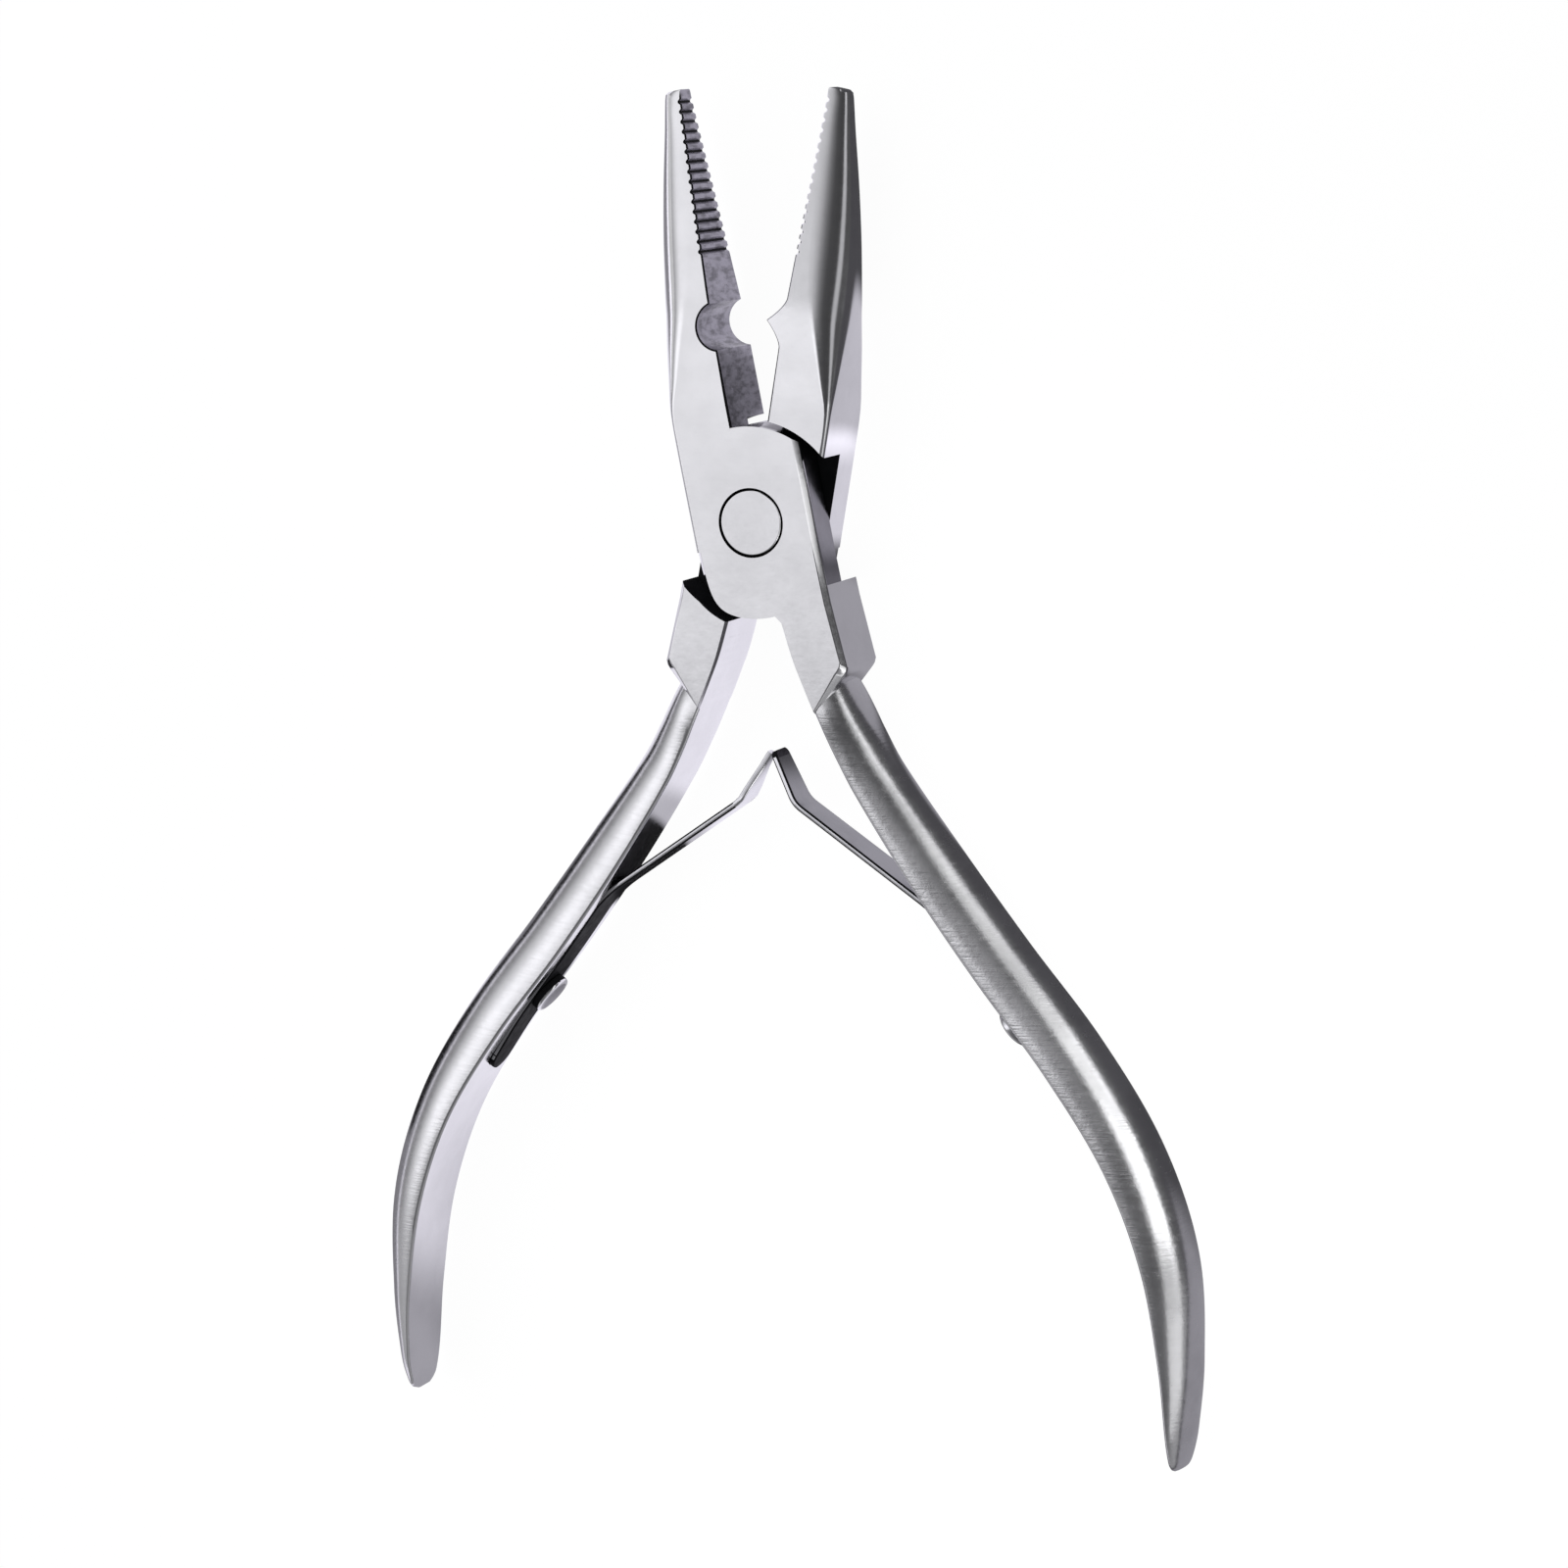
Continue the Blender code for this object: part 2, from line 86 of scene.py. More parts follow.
# Jaw stations: distance from the pivot, depth, half thickness, and the elliptical
# outer corners across and through the jaw
JAW_STATIONS = [
    (-2.0, 6.45, 4.2, 0.42, 0.42),
    (8.0, 6.5, 4.2, 0.45, 0.45),
    (12.0, 6.5, 4.2, 0.6, 0.7),
    (15.0, 6.45, 4.15, 1.6, 1.7),
    (18.0, 6.4, 4.1, 2.6, 2.8),
    (21.5, 6.25, 3.9, 3.6, 3.9),
    (25.0, 5.8, 3.5, 4.0, 3.5),
    (29.0, 5.15, 3.0, 3.9, 3.0),
    (34.0, 4.15, 2.35, 3.4, 2.35),
    (39.0, 3.0, 1.7, 2.6, 1.7),
    (42.0, 2.35, 1.32, 2.0, 1.32),
    (42.5, 2.2, 1.2, 1.9, 1.2),
    (42.7, 1.9, 1.05, 1.6, 1.05),
]
JAW_START, JAW_END = JAW_STATIONS[0][0], JAW_STATIONS[-1][0]
JAW_STEP = 0.9
JAW_CLEARANCE = 0.12
SERRATION_PITCH = 0.98
SERRATION_COUNT = 16
SERRATION_DEPTH = 0.24
SERRATION_TOP_Y = 42.2
SERRATION_SHAPE = [(0.0, 0.0), (0.2, 0.9), (0.31, 1.0), (0.42, 0.9), (0.6, 0.0)]

# Cutter that shapes the inner side of a jaw, and how it breaks the jaw's edges
CUTTER_LOW_Y = -4.0
CUTTER_HIGH_Y = 50.0
CUTTER_X = 12.0
CUTTER_Z = 8.0
EDGE_BREAK = 0.15
EDGE_FLARE = 0.06

NOTCH_CENTRE = (0.48, 19.4)
NOTCH_RADIUS = 2.36
NOTCH_REACH = math.sqrt(NOTCH_RADIUS**2 - (NOTCH_CENTRE[0] + JAW_CLEARANCE) ** 2)
NOTCH_LOW = NOTCH_CENTRE[1] - NOTCH_REACH
NOTCH_HIGH = NOTCH_CENTRE[1] + NOTCH_REACH
POINT_Y = 19.85
POINT_HEIGHT = 1.72
POINT_HALF_BASE = 2.4
POINT_HOLLOW = 1.5  # above 1, the point's flanks are hollow
NOTCH_CORNER_SHIFT = 0.77  # along the jaw, where the notch's edge meets the flat's edge
NOTCH_CORNER_TRIM = 0.12  # radians of the notch's arc left off at each corner

# Handle stations: distance from the pivot, inner face, depth and width
HANDLE_STATIONS = [
    (10.2, 1.05, 3.2, 5.0),
    (14.0, 1.5, 3.5, 5.8),
    (17.0, 2.12, 3.6, 7.0),
    (18.6, 2.48, 3.8, 7.7),
    (20.0, 2.82, 3.95, 7.9),
    (21.5, 3.18, 4.1, 7.8),
    (23.5, 3.68, 4.28, 7.55),
    (28.0, 5.1, 4.55, 7.35),
    (38.0, 9.3, 5.15, 7.5),
    (48.0, 14.15, 5.4, 7.6),
    (58.0, 19.5, 5.45, 7.95),
    (68.0, 23.7, 5.2, 8.3),
    (78.0, 25.6, 4.7, 8.35),
    (88.0, 25.5, 3.3, 8.1),
    (95.0, 24.7, 2.1, 7.2),
    (97.6, 24.3, 1.5, 5.6),
    (98.4, 24.25, 1.1, 4.4),
    (98.75, 24.2, 0.6, 2.6),
]
HANDLE_START = 12.0
HANDLE_STEP = 0.8
HANDLE_END_STATIONS = 4  # the rows that round off the handle's end
EDGE_RADIUS = 0.4
SHOULDER_END = 27.0  # where the fuller section below the plate has died away
SHOULDER_LENGTH = 8.0
SHOULDER_FULLNESS = 0.5

# Plate between the joint and the handle: outer side as (y, x), slanted lower end as
# steps in from the outer corner, and how far that end rolls down and out
PLATE_STEP_Y = -7.29  # where the plate gets its whole thickness
PLATE_OUTER = [(0.0, 6.45), (PLATE_STEP_Y, 6.55), (-9.0, 6.6), (-15.3, 7.05)]
PLATE_SLANT = [(0.75, 0.82), (0.45, 0.55), (0.2, 0.27), (0.0, -0.15)]
PLATE_SIDE_X = 5.5
PLATE_INNER_X = 0.2
PLATE_INNER_START = -9.0
PLATE_INNER_BEND = -10.2
PLATE_INNER_END = -19.2
PLATE_INNER_BEVEL = 0.3  # share of the rim's inset on the inner side
PLATE_SLANT_BEVEL = 0.4  # and on the slanted end
ROLL_DROP = 1.8
ROLL_RUN = 0.5

# Leaf springs
LEAF_THICKNESS = 0.62
LEAF_END_Y = -62.4
LEAF_FLEX_Y = -41.3
LEAF_BEND = (-2.2, -28.2)
LEAF_TIP = (-3.62, -22.75)
TONGUE_TIP = (-4.13, -22.95)
LEAF_FLEX_RADIUS = 14.0
LEAF_BEND_RADIUS = 3.0
LEAF_END_WIDTH = 3.5
LEAF_HANDLE_WIDTH = 4.2
LEAF_BEND_WIDTH = 3.9
LEAF_TIP_WIDTH = 3.2
LEAF_ROUND = 0.17
TIP_RADIUS = 0.8
GROUND_TIP_LENGTH = 1.6
TONGUE_WIDTH = 1.3
TONGUE_LENGTH = 5.4
TONGUE_SHOULDER_END = 0.4  # from the tongue's end to where it is at its full slimness
LEAF_TOP_UPPER = 0.12  # outer face of the leaf over the handle's face at the flexure
LEAF_TOP_LOWER = 0.6  # and at its free end
# Painted shade on a leaf's broad faces runs this far past the flexure; the tongue's edges stay
# unshaded from this far below the bend
SHADED_PAST_FLEXURE = 1.5
UNSHADED_BELOW_BEND = 1.0
SEAT_CLEARANCE = 0.05
SEAT_EDGE = 0.05
SEAT_STOPS = 30  # the stops of a leaf from its end to just past its flexure

SCREW_Y = -52.9
SCREW_HEAD_RADIUS = 2.15
SCREW_HEAD_HEIGHT = 1.15
SCREW_HEAD_EDGE = 0.28
SCREW_FLANK_TOP = SCREW_HEAD_HEIGHT * 0.62
SCREW_RIM_WIDTH = 0.22
SCREW_RIM_DEPTH = 0.06
SCREW_DOME_RISE = 0.2
SCREW_SHANK_RADIUS = 1.1
SCREW_SHANK_END = -2.5


def new_object(name, mesh_maker, materials=()):
    """An object whose mesh is drawn in millimetres by mesh_maker(bm)."""
    bm = bmesh.new()
    mesh_maker(bm)
    bmesh.ops.recalc_face_normals(bm, faces=bm.faces)
    bmesh.ops.scale(bm, vec=(MM, MM, MM), verts=bm.verts)
    mesh = bpy.data.meshes.new(name)
    bm.to_mesh(mesh)
    bm.free()
    obj = bpy.data.objects.new(name, mesh)
    bpy.context.scene.collection.objects.link(obj)
    for material in materials:
        mesh.materials.append(material)
    return obj


def apply_modifiers(target):
    """Turns an object's modifiers into its mesh."""
    graph = bpy.context.evaluated_depsgraph_get()
    mesh = bpy.data.meshes.new_from_object(target.evaluated_get(graph))
    target.modifiers.clear()
    target.data = mesh


def combine(target, other, operation):
    """Joins other to target, or cuts it from target, keeping other's material there."""
    modifier = target.modifiers.new(other.name, "BOOLEAN")
    modifier.operation = operation
    modifier.object = other
    modifier.material_mode = "TRANSFER"
    apply_modifiers(target)
    bpy.data.objects.remove(other)


def bridge(bm, loops):
    """Walls between neighbouring loops of equal length, with both ends capped."""
    rings = [[bm.verts.new(point) for point in loop] for loop in loops]
    for lower, upper in zip(rings, rings[1:]):
        for i in range(len(lower)):
            j = (i + 1) % len(lower)
            bm.faces.new((lower[i], lower[j], upper[j], upper[i]))
    bm.faces.new(rings[0])
    bm.faces.new(rings[-1])


def prism(outline, low, high):
    """Mesh maker for an outline raised along Z from low to high."""

    def make(bm):
        bridge(bm, [[(x, y, z) for x, y in outline] for z in (low, high)])

    return make


def circle(radius, centre=(0.0, 0.0), segments=96):
    """Points of a circle, counterclockwise."""
    return [
        (
            centre[0] + radius * math.cos(2 * math.pi * i / segments),
            centre[1] + radius * math.sin(2 * math.pi * i / segments),
        )
        for i in range(segments)
    ]


def station(rows, distance):
    """The row of a table at a distance, on a smooth curve through its rows."""
    last = len(rows) - 2
    i = next((k for k in range(last) if distance < rows[k + 1][0]), last)
    before, here = rows[max(i - 1, 0)], rows[i]
    after, beyond = rows[i + 1], rows[min(i + 2, last + 1)]
    span = after[0] - here[0]
    t = (distance - here[0]) / span
    values = []
    for a, b, c, d in zip(before, here, after, beyond):
        slope_in = (c - a) / (after[0] - before[0]) * span
        slope_out = (d - b) / (beyond[0] - here[0]) * span
        values.append(
            b * (2 * t**3 - 3 * t**2 + 1)
            + c * (3 * t**2 - 2 * t**3)
            + slope_in * (t**3 - 2 * t**2 + t)
            + slope_out * (t**3 - t**2)
        )
    return values


def handle_face(y):
    """Point of the handle's inner face at height y, and the direction away from it."""
    x = station(HANDLE_STATIONS, -y)[1]
    x_above = station(HANDLE_STATIONS, -y - 0.5)[1]
    x_below = station(HANDLE_STATIONS, -y + 0.5)[1]
    inward = Vector((-1.0, x_above - x_below, 0.0)).normalized()
    return Vector((x, y, 0.0)), inward


def jaw_section(row, inner_x):
    """Flat inner side, and an outer side whose corners are quarter ellipses."""
    y, depth, half, across, through = row
    through = min(through, half)
    count = 18
    turns = [math.pi / 2 * i / count for i in range(count + 1)]
    points = [(inner_x, y, half)]
    for a in turns:
        x = -(depth - across) - across * math.sin(a)
        points.append((x, y, half - through + through * math.cos(a)))
    for a in turns:
        x = -(depth - across) - across * math.cos(a)
        points.append((x, y, -(half - through) - through * math.sin(a)))
    points.append((inner_x, y, -half))
    return [(x, y, z + MIDDLE) for x, y, z in points]


def jaw_rows():
    """Rows of the jaw's table about JAW_STEP apart, through all of its stations."""
    rows = []
    for here, after in zip(JAW_STATIONS, JAW_STATIONS[1:]):
        steps = max(1, round((after[0] - here[0]) / JAW_STEP))
        for i in range(steps):
            rows.append(station(JAW_STATIONS, here[0] + (after[0] - here[0]) * i / steps))
    rows.append(list(JAW_STATIONS[-1]))
    return rows


def make_jaw(bm):
    """The whole jaw, with spare metal on its inner side for the cutter to remove."""
    spare = POINT_HEIGHT + 1.0
    bridge(bm, [jaw_section(row, spare) for row in jaw_rows()])


def jaw_profile(pointed):
    """Inner side of a jaw from below the joint to past the tip."""
    face = -JAW_CLEARANCE
    points = [(face, CUTTER_LOW_Y)]
    if pointed:
        for i in range(25):
            t = -1.0 + i / 12
            rise = POINT_HEIGHT * (1 - abs(t)) ** POINT_HOLLOW
            points.append((face + rise, POINT_Y + t * POINT_HALF_BASE))
    else:
        points.append((face, NOTCH_LOW))
        reach = math.acos((NOTCH_CENTRE[0] - face) / NOTCH_RADIUS) - NOTCH_CORNER_TRIM
        for i in range(33):
            a = math.pi + reach - 2 * reach * i / 32
            x = NOTCH_CENTRE[0] + NOTCH_RADIUS * math.cos(a)
            points.append((x, NOTCH_CENTRE[1] + NOTCH_RADIUS * math.sin(a)))
        points.append((face, NOTCH_HIGH))
    bottom = SERRATION_TOP_Y - SERRATION_COUNT * SERRATION_PITCH
    for i in range(SERRATION_COUNT):
        y = bottom + i * SERRATION_PITCH
        for along, deep in SERRATION_SHAPE:
            points.append((face - SERRATION_DEPTH * deep, y + SERRATION_PITCH * along))
    points.append((face, CUTTER_HIGH_Y))
    return points


def jaw_cutter(pointed):
    """Mesh maker for all that lies inside a jaw's inner side, wider past its edges.

    Its materials are the flat walls', the broken edges' and the grooves' bottoms'.
    """
    profile = jaw_profile(pointed)

    def shift(x, y):
        """Direction in which the edge at a point of the profile is broken."""
        if pointed or abs(y - NOTCH_CENTRE[1]) > NOTCH_RADIUS:
            return (-1.0, 0.0)
        if any(abs(y - corner) < 0.001 for corner in (NOTCH_LOW, NOTCH_HIGH)):
            return (-1.0, math.copysign(NOTCH_CORNER_SHIFT, y - NOTCH_CENTRE[1]))
        return ((x - NOTCH_CENTRE[0]) / NOTCH_RADIUS, (y - NOTCH_CENTRE[1]) / NOTCH_RADIUS)

    def loop(side, inset, level):
        """The profile at a level over the jaw's faces, or far outside them at None."""
        points = []
        for x, y in profile:
            half = station(JAW_STATIONS, min(max(y, JAW_START), JAW_END))[2]
            z = MIDDLE + side * (CUTTER_Z if level is None else half + level)
            dx, dy = shift(x, y)
            points.append((x + dx * inset, y + dy * inset, z))
        start, end = points[0][2], points[-1][2]
        return points + [(CUTTER_X, CUTTER_HIGH_Y, end), (CUTTER_X, CUTTER_LOW_Y, start)]

    def make(bm):
        reach = EDGE_BREAK + EDGE_FLARE
        levels = [(reach, None), (reach, EDGE_FLARE), (0.0, -EDGE_BREAK)]
        loops = [loop(-1, inset, level) for inset, level in levels]
        loops += [loop(1, inset, level) for inset, level in reversed(levels)]
        bridge(bm, loops)
        # The broken edges and the grooves' bottoms get slots of their own, which make_half fills
        # with painted shade: all groove bottoms, and the notched jaw's edges
        groove_x = -JAW_CLEARANCE - SERRATION_DEPTH * 0.7
        for face in bm.faces:
            middle = face.calc_center_median()
            if abs(middle.z - MIDDLE) > 0.5:
                face.material_index = 1
            elif middle.y > NOTCH_HIGH and middle.x < groove_x:
                face.material_index = 2

    return make


def cheek_outline(half_width):
    """Round cheek with flat sides, and a softened lower corner on the free side."""
    corner = math.acos(half_width / CHEEK_RADIUS)
    top = [corner + (math.pi - 2 * corner) * i / 48 for i in range(49)]
    free_corner = [math.pi + math.pi / 2 * i / 40 for i in range(41)]
    bottom = [1.5 * math.pi + (math.pi / 2 - corner) * i / 24 for i in range(1, 25)]
    points = [(CHEEK_RADIUS * math.cos(a), CHEEK_RADIUS * math.sin(a)) for a in top]
    for a in free_corner:
        flat = (abs(math.cos(a)) / half_width) ** CORNER_POWER
        radius = (flat + CHEEK_RADIUS**-CORNER_POWER) ** (-1 / CORNER_POWER)
        points.append((radius * math.cos(a), radius * math.sin(a)))
    points += [(CHEEK_RADIUS * math.cos(a), CHEEK_RADIUS * math.sin(a)) for a in bottom]
    return points


def rim():
    """Inset and drop of each loop of a bevelled rim, from the side to the face."""
    return [(0.0, 0.8), (0.01, 0.64), (0.04, 0.53), (0.1, 0.44), (0.46, 0.07), (CHAMFER, 0.0)]


def make_cheek(bm):
    """The lap around the pivot, with rounded outer edges and one outer side in painted shade."""
    low = MIDDLE + LAP_GAP / 2
    loops = [(cheek_outline(JOINT_HALF_WIDTH), low)]
    for inset, drop in rim():
        outline = cheek_outline(JOINT_HALF_WIDTH - inset)
        loops.append((outline, THICKNESS - drop))
    bridge(bm, [[(x, y, z) for x, y in outline] for outline, z in loops])
    # Painted shade: the outer side at +X, between the lap and the rim, gets the dark shaded-side
    # steel
    for face in bm.faces:
        middle = face.calc_center_median()
        beside = low < middle.z < THICKNESS - SIDE_TOP_DROP
        face.material_index = int(beside and middle.x > 0)


def plate_outline(inset, run):
    """The thick plate between the joint and the handle, its slanted end run out by run."""
    inner = inset * PLATE_INNER_BEVEL
    inner_x = PLATE_INNER_X + inner
    points = [(inner_x, 0.0), (inner_x, PLATE_INNER_START)]
    for i in range(14):
        y = PLATE_INNER_BEND + (PLATE_INNER_END - run - PLATE_INNER_BEND) * i / 13
        points.append((station(HANDLE_STATIONS, -y)[1] + inner, y))
    low_y, low_x = PLATE_OUTER[-1]
    bevel = inset * PLATE_SLANT_BEVEL
    points += [(low_x - inset - x, low_y - run - y + bevel) for x, y in PLATE_SLANT]
    points += [(x - inset, y) for y, x in reversed(PLATE_OUTER[:-1])]
    return points


def make_plate(bm):
    """A plate with bevelled sides whose lower end rolls over into the handle."""
    levels = [(1e-3, ROLL_DROP), (0.0, ROLL_DROP * 0.9)] + rim()[:-1]
    levels += [(rim()[-2][0] + 0.02, 0.03), rim()[-1]]
    levels = [
        (inset, drop, ROLL_RUN * math.sqrt(1 - (1 - drop / ROLL_DROP) ** 2))
        for inset, drop in levels
    ]
    loops = [(inset, drop, run) for inset, drop, run in reversed(levels)]
    loops += [(inset, THICKNESS - drop, run) for inset, drop, run in levels]
    bridge(
        bm,
        [[(x, y, z) for x, y in plate_outline(inset, run)] for inset, z, run in loops],
    )
    # Painted shade: the outer side above the step, between the two rims, gets the dark
    # shaded-side steel
    for face in bm.faces:
        middle = face.calc_center_median()
        upper_side = middle.x > PLATE_SIDE_X and middle.y > PLATE_STEP_Y
        between = SIDE_TOP_DROP < middle.z < THICKNESS - SIDE_TOP_DROP
        face.material_index = int(upper_side and between)


def handle_section(distance):
    """A flat inner face with rounded edges, and an outer side that is half an ellipse.

    Under the plate the ellipse is fuller.
    """
    _, _, depth, width = station(HANDLE_STATIONS, distance)
    face, inward = handle_face(-distance)
    radius = min(EDGE_RADIUS, depth * 0.4)
    half = width / 2
    t = min(max((SHOULDER_END - distance) / SHOULDER_LENGTH, 0.0), 1.0)
    power = 2.0 / (2.0 + SHOULDER_FULLNESS * t * t * (3 - 2 * t))
    corner = []
    for i in range(5):
        a = math.pi / 2 * i / 5
        corner.append((radius * (1 - math.cos(a)), half - radius + radius * math.sin(a)))
    start = math.asin(radius / depth)
    profile = list(corner)
    for i in range(33):
        a = start + (math.pi - 2 * start) * i / 32
        up = math.copysign(abs(math.cos(a)) ** power, math.cos(a))
        profile.append((depth * math.sin(a) ** power, half * up))
    profile += [(out, -z) for out, z in reversed(corner)]
    loop = []
    for out, z in profile:
        point = face - inward * out
        loop.append((point.x, point.y, MIDDLE + z))
    return loop


def make_handle(bm):
    """The handle in even steps, with closer ones where its end rounds off."""
    closing = [row[0] for row in HANDLE_STATIONS[-HANDLE_END_STATIONS:]]
    start, end = HANDLE_START, closing[0]
    count = round((end - start) / HANDLE_STEP)
    distances = [start + (end - start) * i / count for i in range(count + 1)]
    for here, after in zip(closing, closing[1:]):
        distances += [here + (after - here) * i / 4 for i in range(1, 5)]
    bridge(bm, [handle_section(distance) for distance in distances])


def screw_matrix():
    """Frame of a leaf screw: its axis is local Z, pointing away from the handle."""
    face, inward = handle_face(SCREW_Y)
    across = Vector((0.0, 0.0, 1.0)).cross(inward)
    turn = Matrix((across, (0.0, 0.0, 1.0), inward)).transposed().to_4x4()
    origin = Vector((face.x, face.y, MIDDLE)) + inward * leaf_top(SCREW_Y)
    return Matrix.Translation(origin) @ turn


def leaf_top(y):
    """Height of the leaf's outer face over the handle's inner face."""
    t = (y - LEAF_FLEX_Y) / (LEAF_END_Y - LEAF_FLEX_Y)
    return LEAF_TOP_UPPER + (LEAF_TOP_LOWER - LEAF_TOP_UPPER) * t * t


def turned(profile, segments=64):
    """Mesh maker for a solid of revolution about Z from (radius, height) rings."""

    def make(bm):
        loops = []
        for radius, z in profile:
            loops.append([(x, y, z) for x, y in circle(radius, segments=segments)])
        bridge(bm, loops)

    return make


def placed(maker, matrix):
    """Mesh maker that moves another maker's mesh by a matrix."""

    def make(bm):
        maker(bm)
        bmesh.ops.transform(bm, matrix=matrix, verts=bm.verts)

    return make


def rounded_path(points, radii, step_deg=2.0):
    """A polyline whose inner corners are replaced by arcs of the given radii."""
    path = [points[0]]
    for before, corner, after, radius in zip(points, points[1:], points[2:], radii):
        arrive = (corner - before).normalized()
        leave = (after - corner).normalized()
        bend = arrive.angle(leave)
        reach = radius * math.tan(bend / 2)
        start = corner - arrive * reach
        side = (leave - arrive * leave.dot(arrive)).normalized()
        count = max(4, round(math.degrees(bend) / step_deg))
        for i in range(count + 1):
            a = bend * i / count
            path.append(
                start + arrive * radius * math.sin(a) + side * radius * (1 - math.cos(a))
            )
    path.append(points[-1])
    return path


def leaf_path(tongue):
    """Centre line of a leaf: along the handle, round the flexure and bend, to the tip."""
    clamped = []
    for i in range(13):
        y = LEAF_END_Y + (LEAF_FLEX_Y - LEAF_END_Y) * i / 12
        face, inward = handle_face(y)
        clamped.append(face + inward * (leaf_top(y) - LEAF_THICKNESS / 2))
    tip = TONGUE_TIP if tongue else LEAF_TIP
    arm = [clamped[-1], Vector((*LEAF_BEND, 0.0)), Vector((*tip, 0.0))]
    path = rounded_path([clamped[-4]] + arm, [LEAF_FLEX_RADIUS, LEAF_BEND_RADIUS])
    return clamped[:-4] + path


def leaf_width(point):
    """Width of the leaf, narrowing from the flexure to the bend and to the tip."""
    bend_y, tip_y = LEAF_BEND[1], LEAF_TIP[1]
    if point.y < SCREW_Y:
        t = (point.y - LEAF_END_Y) / (SCREW_Y - LEAF_END_Y)
        return LEAF_END_WIDTH + (LEAF_HANDLE_WIDTH - LEAF_END_WIDTH) * t
    if point.y < LEAF_FLEX_Y:
        return LEAF_HANDLE_WIDTH
    if point.y < bend_y:
        t = (point.y - LEAF_FLEX_Y) / (bend_y - LEAF_FLEX_Y)
        return LEAF_HANDLE_WIDTH + (LEAF_BEND_WIDTH - LEAF_HANDLE_WIDTH) * t
    t = (point.y - bend_y) / (tip_y - bend_y)
    return LEAF_BEND_WIDTH + (LEAF_TIP_WIDTH - LEAF_BEND_WIDTH) * t


def leaf_stops(tongue, extra=0.0):
    """Points along a leaf with its width at each: round end, strip, and tip."""
    path = leaf_path(tongue)
    first = (path[1] - path[0]).normalized()
    last = (path[-1] - path[-2]).normalized()
    radius = LEAF_END_WIDTH / 2 + extra
    stops = []
    for i in range(1, 13):
        a = math.pi / 2 * i / 12
        along = radius * (1 - math.cos(a)) - extra
        stops.append((path[0] + first * along, 2 * radius * math.sin(a)))
    reach = stops[-1][0]
    for point in path[1:-1]:
        if point.y > reach.y + 0.1:
            stops.append((point, leaf_width(point) + 2 * extra))
    if tongue:
        root = path[-1] - last * TONGUE_LENGTH
        stops = [stop for stop in stops if stop[0].y < root.y - 0.02]
        width = leaf_width(root)
        reach = TONGUE_LENGTH - TONGUE_SHOULDER_END
        stops.append((root, width))
        for i in range(1, 5):
            taper = 0.5 + 0.5 * math.cos(math.pi * i / 4)
            shoulder = TONGUE_WIDTH + (width - TONGUE_WIDTH) * taper
            stops.append((root + last * reach * i / 4, shoulder))
        stops.append((path[-1], TONGUE_WIDTH * 0.75))
    else:
        for i in range(7):
            a = math.pi / 2 * i / 7
            along = TIP_RADIUS * (1 - math.sin(a))
            width = LEAF_TIP_WIDTH - 2 * TIP_RADIUS * (1 - math.cos(a))
            stops.append((path[-1] - last * along, width))
    return stops


def strip(stops, thickness, edge):
    """Mesh maker for a strip with rounded edges along a line of stops."""

    def make(bm):
        loops = []
        for i, (point, width) in enumerate(stops):
            before = stops[max(i - 1, 0)][0]
            after = stops[min(i + 1, len(stops) - 1)][0]
            direction = (after - before).normalized()
            side = Vector((-direction.y, direction.x, 0.0))
            radius = min(edge, width * 0.45)
            loop = []
            for quarter in range(4):
                out = (thickness / 2 - radius) * (1 if quarter in (0, 3) else -1)
                up = (width / 2 - radius) * (1 if quarter in (0, 1) else -1)
                for k in range(4):
                    a = math.pi / 2 * (quarter + k / 3)
                    u = out + radius * math.cos(a)
                    v = up + radius * math.sin(a)
                    loop.append(point + side * u + Vector((0.0, 0.0, MIDDLE + v)))
            loops.append(loop)
        bridge(bm, loops)

    return make


def make_half(name, pointed, steels):
    """One forging in the front half's place: jaw, lap, plate and handle."""
    forged, shaded_side, brushed, ground_and_shade, dark = steels
    half = new_object(name, make_jaw, [forged])
    # Painted shade: the flat walls get the darkened grinding finish, the notched jaw's broken
    # edges and the grooves' bottoms the near-black recess shade
    jaw_steels = [ground_and_shade, forged if pointed else dark, dark]
    combine(half, new_object("jaw_cut", jaw_cutter(pointed), jaw_steels), "DIFFERENCE")
    for label, maker, metals in (
        ("cheek", make_cheek, [forged, shaded_side]),
        ("plate", make_plate, [forged, shaded_side]),
        ("bar", make_handle, [brushed]),
    ):
        combine(half, new_object(label, maker, metals), "UNION")
    low, level = -1.0, MIDDLE + LAP_GAP / 2
    upper = [p for p in circle(UPPER_POCKET_RADIUS, segments=POCKET_SEGMENTS) if p[1] > -0.01]
    lower = [p for p in circle(LOWER_POCKET_RADIUS, segments=POCKET_SEGMENTS) if p[1] < 0.01]
    relief = circle(LOWER_RELIEF_RADIUS, LOWER_RELIEF_CENTRE, POCKET_SEGMENTS)
    ring = RIVET_RADIUS + RIVET_GROOVE
    seat_stops = leaf_stops(False, SEAT_CLEARANCE)[:SEAT_STOPS]
    cuts = [
        prism(upper, low, level),
        prism(lower, low, level),
        prism(relief, low, level),
        turned([(ring, low), (ring, THICKNESS + 1.0)]),
        strip(seat_stops, LEAF_THICKNESS + 2 * SEAT_CLEARANCE, SEAT_EDGE),
    ]
    # Painted shade: every cut below lines its walls with the near-black recess shade: lap
    # pockets, relief, the groove round the pin and the leaf's seat
    for maker in cuts:
        combine(half, new_object("cut", maker, [dark]), "DIFFERENCE")
    return half


